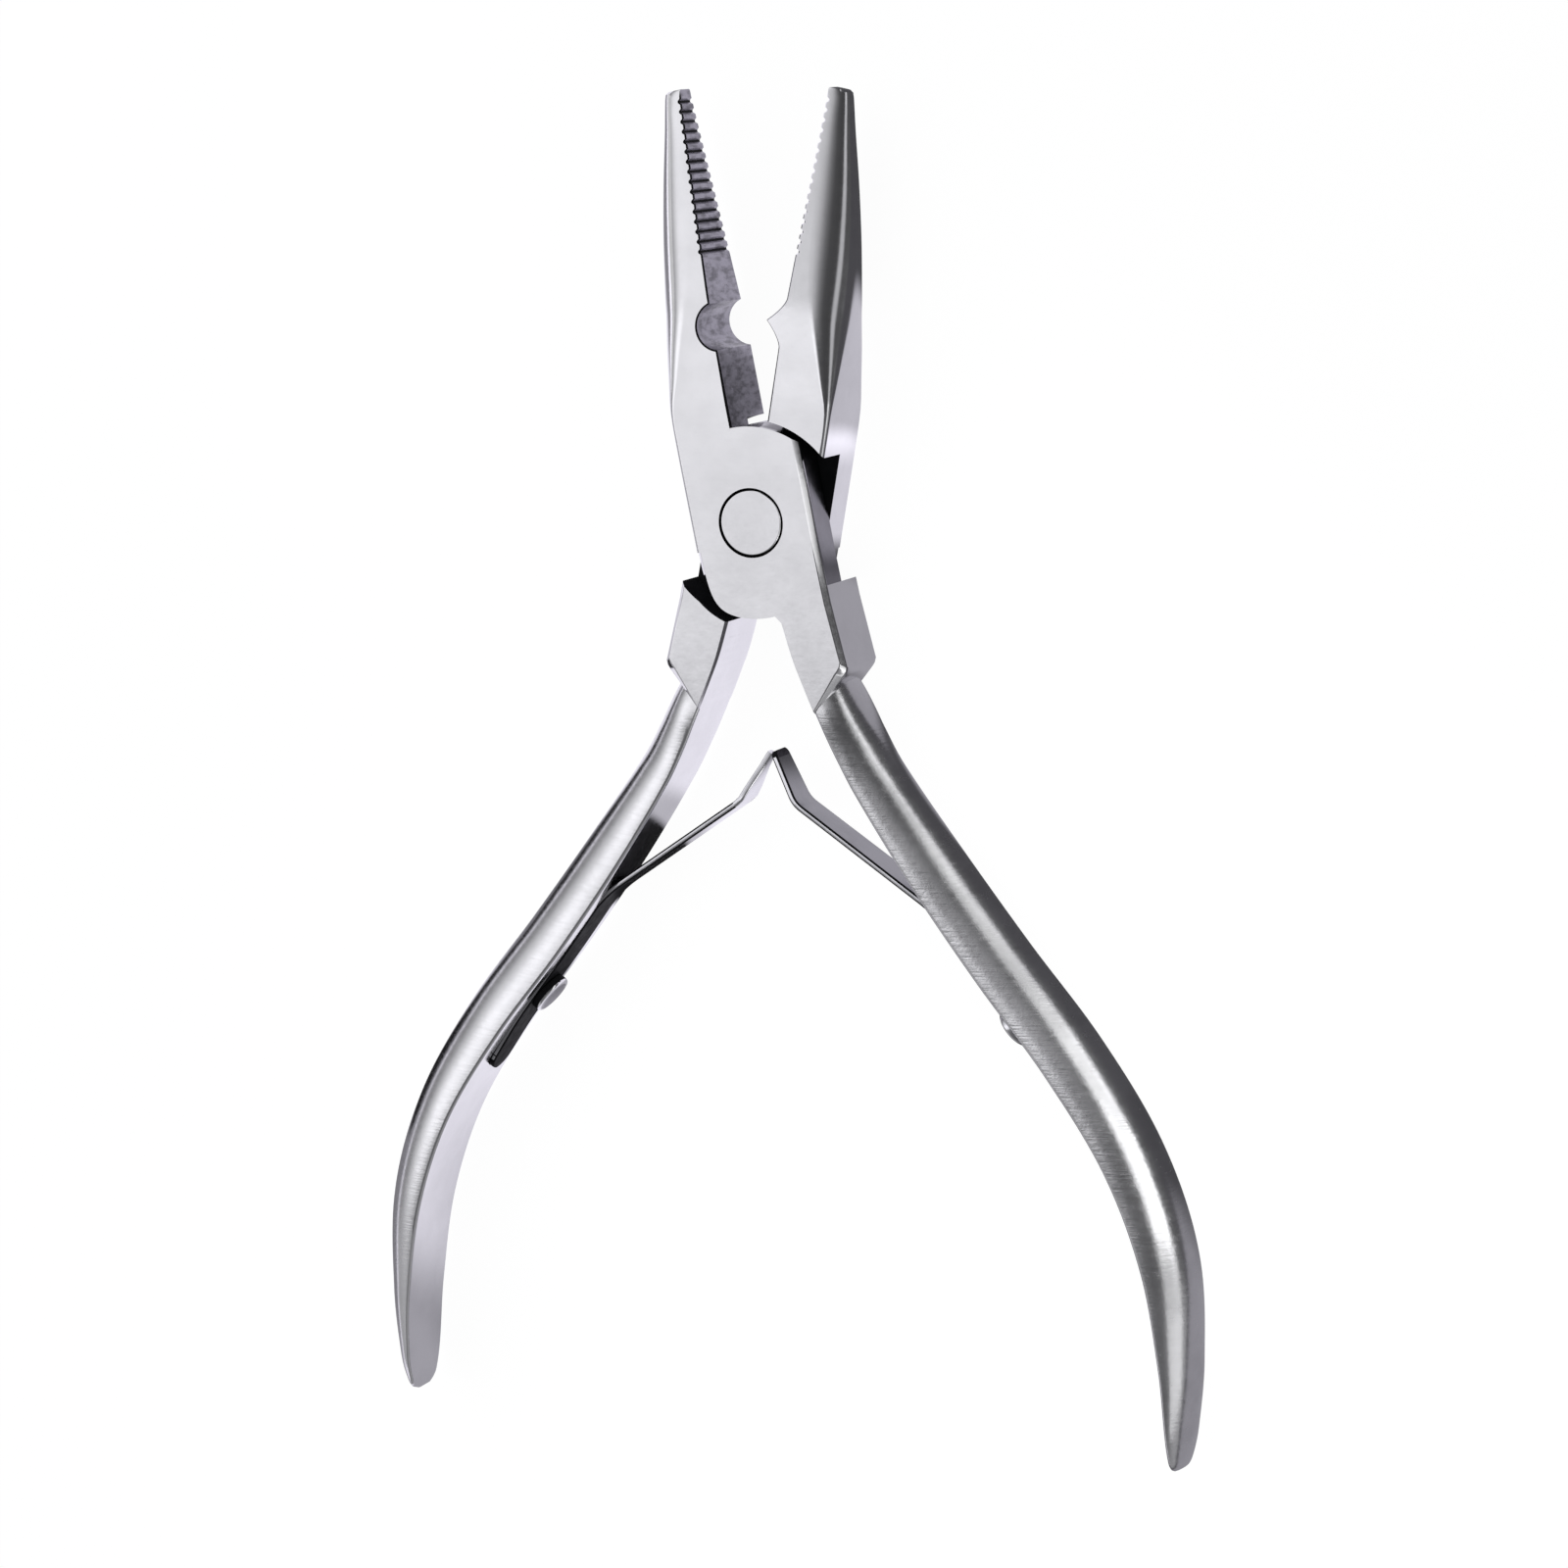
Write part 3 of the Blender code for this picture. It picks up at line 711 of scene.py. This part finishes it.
def make_rivet(bm):
    """A flush pin with softly broken end edges."""
    profile = []
    for i in range(4):
        a = math.pi / 2 * i / 3
        in_from_side, up_from_end = 1 - math.sin(a), 1 - math.cos(a)
        profile.append((RIVET_RADIUS - RIVET_EDGE * in_from_side, RIVET_EDGE * up_from_end))
    upper = [(radius, THICKNESS - z) for radius, z in reversed(profile)]
    turned(profile + upper, 96)(bm)


def make_screw(bm):
    """Screw along local Z, seated on the leaf at Z = 0: rim, groove and low dome.

    Its materials are the dome's, the flank's and the rim's.
    """
    radius, flank_top, edge = SCREW_HEAD_RADIUS, SCREW_FLANK_TOP, SCREW_HEAD_EDGE
    profile = [
        (SCREW_SHANK_RADIUS, SCREW_SHANK_END),
        (SCREW_SHANK_RADIUS, 0.02),
        (radius - 0.1, 0.02),
        (radius, 0.1),
        (radius, flank_top),
    ]
    for i in range(1, 5):
        a = math.pi / 2 * i / 4
        profile.append((radius - edge * (1 - math.cos(a)), flank_top + edge * math.sin(a)))
    rim_r, rim_z = profile[-1]
    dome_r, dome_z = rim_r - SCREW_RIM_WIDTH, rim_z - SCREW_RIM_DEPTH
    profile.append((rim_r - 0.16, rim_z + 0.01))
    profile.append((dome_r, dome_z))
    for i in range(1, 9):
        a = math.pi / 2 * i / 8
        profile.append((dome_r * math.cos(a) + 0.05, dome_z + SCREW_DOME_RISE * math.sin(a)))
    turned(profile)(bm)
    for face in bm.faces:
        middle = face.calc_center_median()
        if middle.z < flank_top:
            face.material_index = 1
        elif math.hypot(middle.x, middle.y) > radius - 0.45:
            face.material_index = 2


def smooth(obj, angle_deg=26.0):
    """Round faces shade smooth, sharp edges stay sharp, flat faces stay flat."""
    bm = bmesh.new()
    bm.from_mesh(obj.data)
    bmesh.ops.remove_doubles(bm, verts=bm.verts, dist=0.5e-6)
    bmesh.ops.dissolve_degenerate(bm, edges=bm.edges, dist=0.5e-6)
    bm.to_mesh(obj.data)
    bm.free()
    obj.data.shade_smooth()
    obj.data.set_sharp_from_angle(angle=math.radians(angle_deg))
    modifier = obj.modifiers.new("weighted", "WEIGHTED_NORMAL")
    modifier.keep_sharp = True
    modifier.weight = 80
    apply_modifiers(obj)


# ---------------------------------------------------------------- materials


class Nodes:
    """A short way to build a node tree."""

    def __init__(self, tree):
        self.tree = tree
        tree.nodes.clear()

    def add(self, kind, inputs=None, **settings):
        """A node with its inputs set or linked, and its settings."""
        node = self.tree.nodes.new(kind)
        for key, value in settings.items():
            setattr(node, key, value)
        for key, value in (inputs or {}).items():
            if isinstance(value, bpy.types.NodeSocket):
                self.tree.links.new(value, node.inputs[key])
            else:
                node.inputs[key].default_value = value
        return node

    def ramp(self, factor, stops, interpolation="EASE"):
        """Colour along a ramp with (position, colour) stops."""
        node = self.add("ShaderNodeValToRGB", {"Fac": factor})
        ramp = node.color_ramp
        ramp.interpolation = interpolation
        while len(ramp.elements) < len(stops):
            ramp.elements.new(0.5)
        for element, (position, colour) in zip(ramp.elements, stops):
            element.position = position
            element.color = (*colour, 1.0)
        return node.outputs["Color"]


def steel(name, colour, shade, roughness, grain, stretch, turn_deg, bump, metallic=1.0,
          specular=0.5, speckled=0.5, cloudy=(160.0, 160.0, 160.0), ior=1.45):
    """Steel with grain along one direction, cloudy polish and uneven roughness.

    The colour falls to its shade in the clouds. The grain's scale is stretched and
    turned, and speckled is the share of round specks in it.
    """
    material = bpy.data.materials.new(name)
    material.use_nodes = True
    nodes = Nodes(material.node_tree)
    place = nodes.add("ShaderNodeTexCoord").outputs["Object"]
    mapping = nodes.add(
        "ShaderNodeMapping",
        {"Vector": place, "Rotation": (0.0, 0.0, math.radians(turn_deg)), "Scale": stretch},
    ).outputs["Vector"]
    fine = nodes.add(
        "ShaderNodeTexNoise",
        {"Vector": mapping, "Scale": grain, "Detail": 3.0, "Roughness": 0.6},
    ).outputs["Fac"]
    speckle = nodes.add(
        "ShaderNodeTexNoise",
        {"Vector": place, "Scale": grain * 1.4, "Detail": 2.0, "Roughness": 0.7},
    ).outputs["Fac"]
    clouds = nodes.add("ShaderNodeMapping", {"Vector": place, "Scale": cloudy}).outputs["Vector"]
    cloud = nodes.add(
        "ShaderNodeTexNoise",
        {"Vector": clouds, "Scale": 1.0, "Detail": 4.0, "Roughness": 0.6},
    ).outputs["Fac"]
    surface = nodes.add(
        "ShaderNodeMix", {0: speckled, 2: fine, 3: speckle}, data_type="FLOAT"
    ).outputs[0]
    darker = tuple(c * shade for c in colour)
    tone = nodes.ramp(cloud, [(0.3, darker), (0.62, colour)])
    rough = nodes.add(
        "ShaderNodeMapRange",
        {"Value": surface, "From Min": 0.3, "From Max": 0.7, "To Min": roughness * 0.75,
         "To Max": roughness * 1.3},
    ).outputs["Result"]
    relief = nodes.add(
        "ShaderNodeBump", {"Height": surface, "Strength": bump, "Distance": 0.00004}
    ).outputs["Normal"]
    shader = nodes.add(
        "ShaderNodeBsdfPrincipled",
        {"Base Color": tone, "Metallic": metallic, "Roughness": rough, "Normal": relief,
         "Specular IOR Level": specular, "IOR": ior},
    )
    nodes.add("ShaderNodeOutputMaterial", {"Surface": shader.outputs["BSDF"]})
    material.diffuse_color = (*colour, 1.0)
    return material


POLISHED = (0.83, 0.83, 0.845)
# Near-black of painted shade, for recesses, groove bottoms, broken edges and leaf edges
SHADE_BLACK = (0.018, 0.018, 0.02)
forged_steel = steel("forged_steel", POLISHED, 0.93, 0.13, 900, (1, 2, 1), 0, 0.1)
right_brushed = steel(
    "right_brushed", POLISHED, 0.86, 0.225, 1100, (0.3, 4.0, 0.3), -35, 0.7, speckled=0.45
)
left_brushed = steel(
    "left_brushed", POLISHED, 0.93, 0.2, 1100, (0.3, 4.0, 0.3), 35, 0.35, speckled=0.4
)
# Partly real and partly painted shade: a mottled grinding finish for the jaws' inner faces and a
# leaf's square tip, its colour kept dark to stand for the dark reflections on those faces
ground_and_shade_steel = steel(
    "ground_and_shade_steel", (0.3, 0.29, 0.33), 0.4, 0.32, 1900, (1, 1, 0.45), 0, 1.0,
    cloudy=(1500.0, 1500.0, 600.0),
)
# Painted shade: a dark steel that stands for the shade on one outer side of the cheek and on the
# plate's upper outer side
shaded_side_steel = steel("shaded_side_steel", (0.26, 0.255, 0.28), 0.8, 0.2, 1100, (1, 1, 3), 0, 0.3)
# Painted shade: a near-black, barely reflecting steel for the lap pockets, the groove round the
# pin, the leaf seats, the grooves' bottoms and the notched jaw's broken edges
recess_shade_steel = steel(
    "recess_shade_steel", SHADE_BLACK, 0.5, 0.4, 600, (1, 1, 1), 0, 0.4, 0.0, 0.1, ior=1.12
)
spring_steel = steel("spring_steel", (0.8, 0.8, 0.83), 0.85, 0.16, 800, (1, 1, 4), 0, 0.15)
# Painted shade: the same near-black steel on the leaves' rounded edges, on their broad faces
# along the handles and on the left screw's flank
painted_shade_steel = steel(
    "painted_shade_steel", SHADE_BLACK, 0.5, 0.4, 900, (1, 1, 2), 0, 0.4, 0.0, 0.15, ior=1.12
)
turned_steel = steel("turned_steel", POLISHED, 0.93, 0.14, 900, (2, 2, 1), 0, 0.1)
screw_steel = steel("screw_steel", (0.42, 0.42, 0.44), 0.6, 0.3, 1200, (1, 1, 1), 0, 0.8)


# ---------------------------------------------------------------- pieces


def half_matrix(angle_deg, turned_over):
    """Turns a half about the pivot, and first over to the rear if turned_over."""
    matrix = Matrix.Rotation(math.radians(angle_deg), 4, "Z")
    if turned_over:
        matrix = matrix @ Matrix.Translation((0.0, 0.0, THICKNESS * MM))
        matrix = matrix @ Matrix.Rotation(math.pi, 4, "Y")
    return matrix


def settle(obj, matrix):
    """Moves a piece's mesh into the row frame, with its object left at the origin."""
    obj.data.transform(matrix)
    smooth(obj)
    return obj


def make_leaf(name, tongue):
    """A leaf with painted shade on its broad faces along the handle and on its rounded edges, and
    its square tip finished by grinding, with that finish darkened as painted shade.
    """
    steels = [spring_steel, painted_shade_steel, ground_and_shade_steel]
    leaf = new_object(name, strip(leaf_stops(tongue), LEAF_THICKNESS, LEAF_ROUND), steels)
    for face in leaf.data.polygons:
        y = face.center.y / MM
        tilt = abs(face.normal.z)
        # Painted shade: broad faces along the handle and rounded edges get the near-black shade
        # steel, except the tongue's edges from just below the bend to its end; the square tip
        # gets the darkened grinding finish
        clamped = tilt < 0.5 and y < LEAF_FLEX_Y + SHADED_PAST_FLEXURE
        unshaded_edge = tongue and y > LEAF_BEND[1] - UNSHADED_BELOW_BEND
        rounded_edge = 0.2 < tilt < 0.97 and not unshaded_edge
        face.material_index = int(clamped or rounded_edge)
        if not tongue and tilt < 0.2 and y > LEAF_TIP[1] - GROUND_TIP_LENGTH:
            face.material_index = 2
    return leaf


def make_side(side, body, matrix, pointed):
    """A forging with its leaf and screw, each in the place of its node."""
    brushed = {"right": right_brushed, "left": left_brushed}[side]
    steels = (forged_steel, shaded_side_steel, brushed, ground_and_shade_steel, recess_shade_steel)
    half = make_half(side + "_forging", pointed, steels)
    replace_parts(settle(half, matrix), body + "_half")
    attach(half, body)
    # Painted shade: the left screw's flank is near-black, standing for the shadow between its
    # head and the leaf; the right one's is bright spring steel
    flank = {"right": spring_steel, "left": painted_shade_steel}[side]
    metals = [screw_steel, flank, turned_steel]
    screw = new_object(side + "_leaf_screw", placed(make_screw, screw_matrix()), metals)
    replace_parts(settle(screw, matrix), side + "_spring_screw")
    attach(screw, body)
    leaf = make_leaf(side + "_leaf", pointed)
    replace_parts(settle(leaf, matrix), side + "_spring_leaf")
    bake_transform(leaf)


front_matrix = half_matrix(OPENING_DEG / 2, False)
rear_matrix = half_matrix(-OPENING_DEG / 2, True)
make_side("right", "front", front_matrix, False)
make_side("left", "rear", rear_matrix, True)
pin = new_object("pivot_pin", make_rivet, [turned_steel])
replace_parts(settle(pin, front_matrix), "pivot_rivet")
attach(pin, "front")


# ---------------------------------------------------------------- camera, floor, light


# Degrees from +Z toward +X, degrees toward +Y and roll; the place is in metres
CAMERA_ANGLES = (23.862, 9.457, -1.2505)
CAMERA_PLACE = (0.18558, 0.04947, 0.42126)
CAMERA_LENS = 106.775
CAMERA_SENSOR = 36.0


def make_camera():
    """A long lens that sees the face of the joint from the right and a little above."""
    azimuth, elevation, roll = (math.radians(a) for a in CAMERA_ANGLES)
    back = Vector(
        (
            math.sin(azimuth) * math.cos(elevation),
            math.sin(elevation),
            math.cos(azimuth) * math.cos(elevation),
        )
    )
    level = Vector((0.0, 1.0, 0.0)).cross(back).normalized()
    upward = back.cross(level)
    right = level * math.cos(roll) + upward * math.sin(roll)
    up = upward * math.cos(roll) - level * math.sin(roll)
    data = bpy.data.cameras.new("camera")
    data.sensor_width = CAMERA_SENSOR
    data.lens = CAMERA_LENS
    camera = bpy.data.objects.new("camera", data)
    bpy.context.scene.collection.objects.link(camera)
    matrix = Matrix((right, up, back)).transposed().to_4x4()
    matrix.translation = Vector(CAMERA_PLACE)
    camera.matrix_world = matrix
    data.clip_start = 0.01
    data.clip_end = 10.0
    bpy.context.scene.camera = camera


FLOOR_RADIUS = 4000.0
FLOOR_DEPTH = 3.0
WHITE = (1.0, 1.0, 1.0, 1.0)
WHITENESS = 0.96  # of the floor and of the backdrop, where they are seen directly

# What the metal sees of the floor: from light to dark across a soft line, along
# FLOOR_SIDE, with patches given as centre and radius in metres and change of level
FLOOR_SIDE = (1.0, -0.064, 0.0)
FLOOR_PATCHES = [
    ((0.0135, 0.0135), 0.0098, 0.55),
    ((0.0085, 0.0022), 0.0062, 0.7),
    ((0.0135, -0.011), 0.0088, 0.32),
    ((0.062, -0.09), 0.03, 0.25),
    ((0.01, -0.031), 0.01, 0.3),
    ((0.001, 0.0135), 0.0045, -0.5),
    ((-0.032, -0.104), 0.026, -0.55),
    ((-0.078, -0.065), 0.042, -0.75),
    ((-0.052, -0.012), 0.03, -0.75),
    ((-0.032, 0.032), 0.02, -0.7),
    ((-0.04, -0.03), 0.018, -0.75),
    ((-0.056, -0.05), 0.016, -0.75),
    ((-0.0152, -0.0345), 0.0072, -0.4),
    ((-0.0155, -0.0375), 0.0055, -1.0),
    ((-0.0245, -0.0515), 0.0045, -0.5),
]


def make_floor():
    """A pale floor under the pliers, which metal sees as light and dark cards."""
    material = bpy.data.materials.new("pale_floor")
    material.use_nodes = True
    nodes = Nodes(material.node_tree)
    place = nodes.add("ShaderNodeTexCoord").outputs["Object"]
    cloud = nodes.add("ShaderNodeTexNoise", {"Vector": place, "Scale": 5.0}).outputs["Fac"]
    tone = nodes.ramp(cloud, [(0.3, (0.1, 0.1, 0.1)), (0.7, (0.12, 0.12, 0.12))])
    diffuse = nodes.add("ShaderNodeBsdfDiffuse", {"Color": tone}).outputs["BSDF"]
    glow = nodes.add(
        "ShaderNodeEmission", {"Color": WHITE, "Strength": WHITENESS}
    ).outputs["Emission"]
    lit = nodes.add("ShaderNodeAddShader", {0: diffuse, 1: glow}).outputs["Shader"]
    across = nodes.add(
        "ShaderNodeVectorMath", {0: place, 1: FLOOR_SIDE}, operation="DOT_PRODUCT"
    ).outputs["Value"]
    level = nodes.add(
        "ShaderNodeMapRange",
        {"Value": across, "From Min": 0.0005, "From Max": 0.0025, "To Min": 0.98, "To Max": 0.08},
        interpolation_type="SMOOTHSTEP",
    ).outputs["Result"]
    for (x, y), radius, change in FLOOR_PATCHES:
        away = nodes.add(
            "ShaderNodeVectorMath", {0: place, 1: (x, y, 0.0)}, operation="DISTANCE"
        ).outputs["Value"]
        patch = nodes.add(
            "ShaderNodeMapRange",
            {"Value": away, "From Min": radius * 0.7, "From Max": radius * 1.1,
             "To Min": change, "To Max": 0.0},
            interpolation_type="SMOOTHSTEP",
        ).outputs["Result"]
        level = nodes.add("ShaderNodeMath", {0: level, 1: patch}, operation="ADD").outputs[0]
    level = nodes.add("ShaderNodeMath", {0: level, 1: 0.01}, operation="MAXIMUM").outputs[0]
    mirrored = nodes.add(
        "ShaderNodeEmission", {"Color": (0.935, 0.91, 1.0, 1.0), "Strength": level}
    ).outputs["Emission"]
    glossy = nodes.add("ShaderNodeLightPath").outputs["Is Glossy Ray"]
    mix = nodes.add("ShaderNodeMixShader", {0: glossy, 1: lit, 2: mirrored})
    nodes.add("ShaderNodeOutputMaterial", {"Surface": mix.outputs["Shader"]})
    sheet = prism(circle(FLOOR_RADIUS), -FLOOR_DEPTH, 0.0)
    new_object("floor", sheet, [material])


# Light by direction about the long axis, as (degrees from +Z toward +X, level), in four
# bands from the handles' end to the jaws' end. Each band takes over from the one before
# it between two values of the direction's Y.
STUDIO_LOW = [
    (-180, 0.2), (-100, 0.35), (-50, 0.42), (-33, 0.25), (-20, 0.14), (5, 0.12),
    (22, 0.15), (40, 0.24), (60, 0.32), (90, 0.34), (120, 0.28), (180, 0.2),
]
STUDIO_BELOW = [
    (-180, 0.2), (-92, 0.18), (-78, 0.26), (-66, 0.6), (-53, 1.15), (-43, 1.2),
    (-33, 0.95), (-24, 0.9), (-20, 0.85), (-13, 0.12), (7, 0.09), (26, 0.09),
    (40, 0.12), (66, 0.2), (90, 0.2), (180, 0.2),
]
STUDIO_MIDDLE = [
    (-180, 0.2), (-92, 0.18), (-78, 0.26), (-66, 0.66), (-53, 1.25), (-43, 1.25),
    (-33, 0.95), (-25, 0.92), (-18, 1.2), (-11, 1.3), (-4, 0.25), (2, 0.08), (26, 0.06),
    (40, 0.06), (52, 0.06), (57, 0.5), (66, 0.5), (71, 0.08), (90, 0.09), (180, 0.12),
]
STUDIO_HIGH = [
    (-180, 0.2), (-92, 0.18), (-78, 0.28), (-66, 0.6), (-53, 0.88), (-43, 0.95),
    (-28, 0.95), (-20, 0.66), (-10, 0.58), (0, 0.45), (8, 0.28), (16, 0.16),
    (26, 0.08), (40, 0.06), (53, 0.06), (57, 0.66), (65, 0.66), (69, 0.08),
    (90, 0.09), (180, 0.12),
]
STUDIO_BANDS = [
    (STUDIO_BELOW, -0.2, -0.14),
    (STUDIO_MIDDLE, -0.09, -0.05),
    (STUDIO_HIGH, 0.06, 0.13),
]
STUDIO_TINT = (0.995, 0.99, 1.02)


def make_light():
    """A soft studio round the long axis: bright on the left, a strip on the right."""
    world = bpy.data.worlds.new("studio")
    bpy.context.scene.world = world
    world.use_nodes = True
    nodes = Nodes(world.node_tree)
    place = nodes.add("ShaderNodeTexCoord").outputs["Generated"]
    axes = nodes.add("ShaderNodeSeparateXYZ", {"Vector": place}).outputs
    angle = nodes.add(
        "ShaderNodeMath", {0: axes["X"], 1: axes["Z"]}, operation="ARCTAN2"
    ).outputs["Value"]
    spread = nodes.add(
        "ShaderNodeMapRange",
        {"Value": angle, "From Min": -math.pi, "From Max": math.pi, "To Min": 0.0, "To Max": 1.0},
    ).outputs["Result"]

    def band(levels):
        """Light of one band by direction about the long axis."""
        stops = []
        for degrees, level in levels:
            stops.append(((degrees + 180) / 360, tuple(level * t for t in STUDIO_TINT)))
        return nodes.ramp(spread, stops, "LINEAR")

    colour = band(STUDIO_LOW)
    for levels, start, end in STUDIO_BANDS:
        share = nodes.add(
            "ShaderNodeMapRange",
            {"Value": axes["Y"], "From Min": start, "From Max": end},
            interpolation_type="SMOOTHSTEP",
        ).outputs["Result"]
        colour = nodes.add(
            "ShaderNodeMix", {0: share, 6: colour, 7: band(levels)}, data_type="RGBA"
        ).outputs[2]
    reflected = nodes.add("ShaderNodeBackground", {"Color": colour, "Strength": 1.0})
    backdrop = nodes.add("ShaderNodeBackground", {"Color": WHITE, "Strength": WHITENESS})
    seen = nodes.add("ShaderNodeLightPath").outputs["Is Camera Ray"]
    mix = nodes.add(
        "ShaderNodeMixShader",
        {0: seen, 1: reflected.outputs["Background"], 2: backdrop.outputs["Background"]},
    )
    nodes.add("ShaderNodeOutputWorld", {"Surface": mix.outputs["Shader"]})


def soft_box(name, start, end, width, target, radiance):
    """A rectangular lamp from start to end, facing a target, not seen directly."""
    start, end, target = Vector(start), Vector(end), Vector(target)
    centre = (start + end) / 2
    lamp = bpy.data.lights.new(name, "AREA")
    lamp.shape = "RECTANGLE"
    lamp.size = width * MM
    lamp.size_y = (end - start).length * MM
    lamp.energy = radiance * math.pi * lamp.size * lamp.size_y
    obj = bpy.data.objects.new(name, lamp)
    bpy.context.scene.collection.objects.link(obj)
    back = (centre - target).normalized()
    across = (end - start).cross(back).normalized()
    turn = Matrix((across, back.cross(across), back)).transposed().to_4x4()
    obj.matrix_world = Matrix.Translation(centre * MM) @ turn
    obj.visible_camera = False


# A row of soft boxes that follows the right handle: name, start, end, width, target on
# the handle and radiance
LAMP_HEIGHT = 30.0
TARGET_HEIGHT = 5.0
HANDLE_LAMPS = [
    ("shoulder_lamp", (44.0, 13.0), (40.0, -13.0), 15.0, (15.0, -24.0), 0.6),
    ("upper_lamp", (40.0, -13.0), (49.0, -28.0), 20.0, (22.0, -36.0), 0.6),
    ("middle_lamp", (49.0, -28.0), (60.0, -44.0), 22.0, (34.0, -54.0), 1.0),
    ("lower_lamp", (60.0, -44.0), (68.0, -70.0), 24.0, (41.0, -68.0), 1.4),
    ("tip_lamp", (68.0, -70.0), (80.0, -106.0), 34.0, (46.0, -84.0), 0.5),
]
JAW_LAMP = ("jaw_lamp", (-60.0, 12.0, 9.0), (-60.0, 60.0, 9.0), 22.0, (-12.0, 32.0, 5.0), 0.4)


def make_lamps():
    """The soft boxes beside the right handle, and one beside the left jaw."""
    for name, start, end, width, target, radiance in HANDLE_LAMPS:
        from_point, to_point = (*start, LAMP_HEIGHT), (*end, LAMP_HEIGHT)
        soft_box(name, from_point, to_point, width, (*target, TARGET_HEIGHT), radiance)
    soft_box(*JAW_LAMP)


make_camera()
make_floor()
make_light()
make_lamps()
bpy.context.scene.view_settings.view_transform = "Standard"
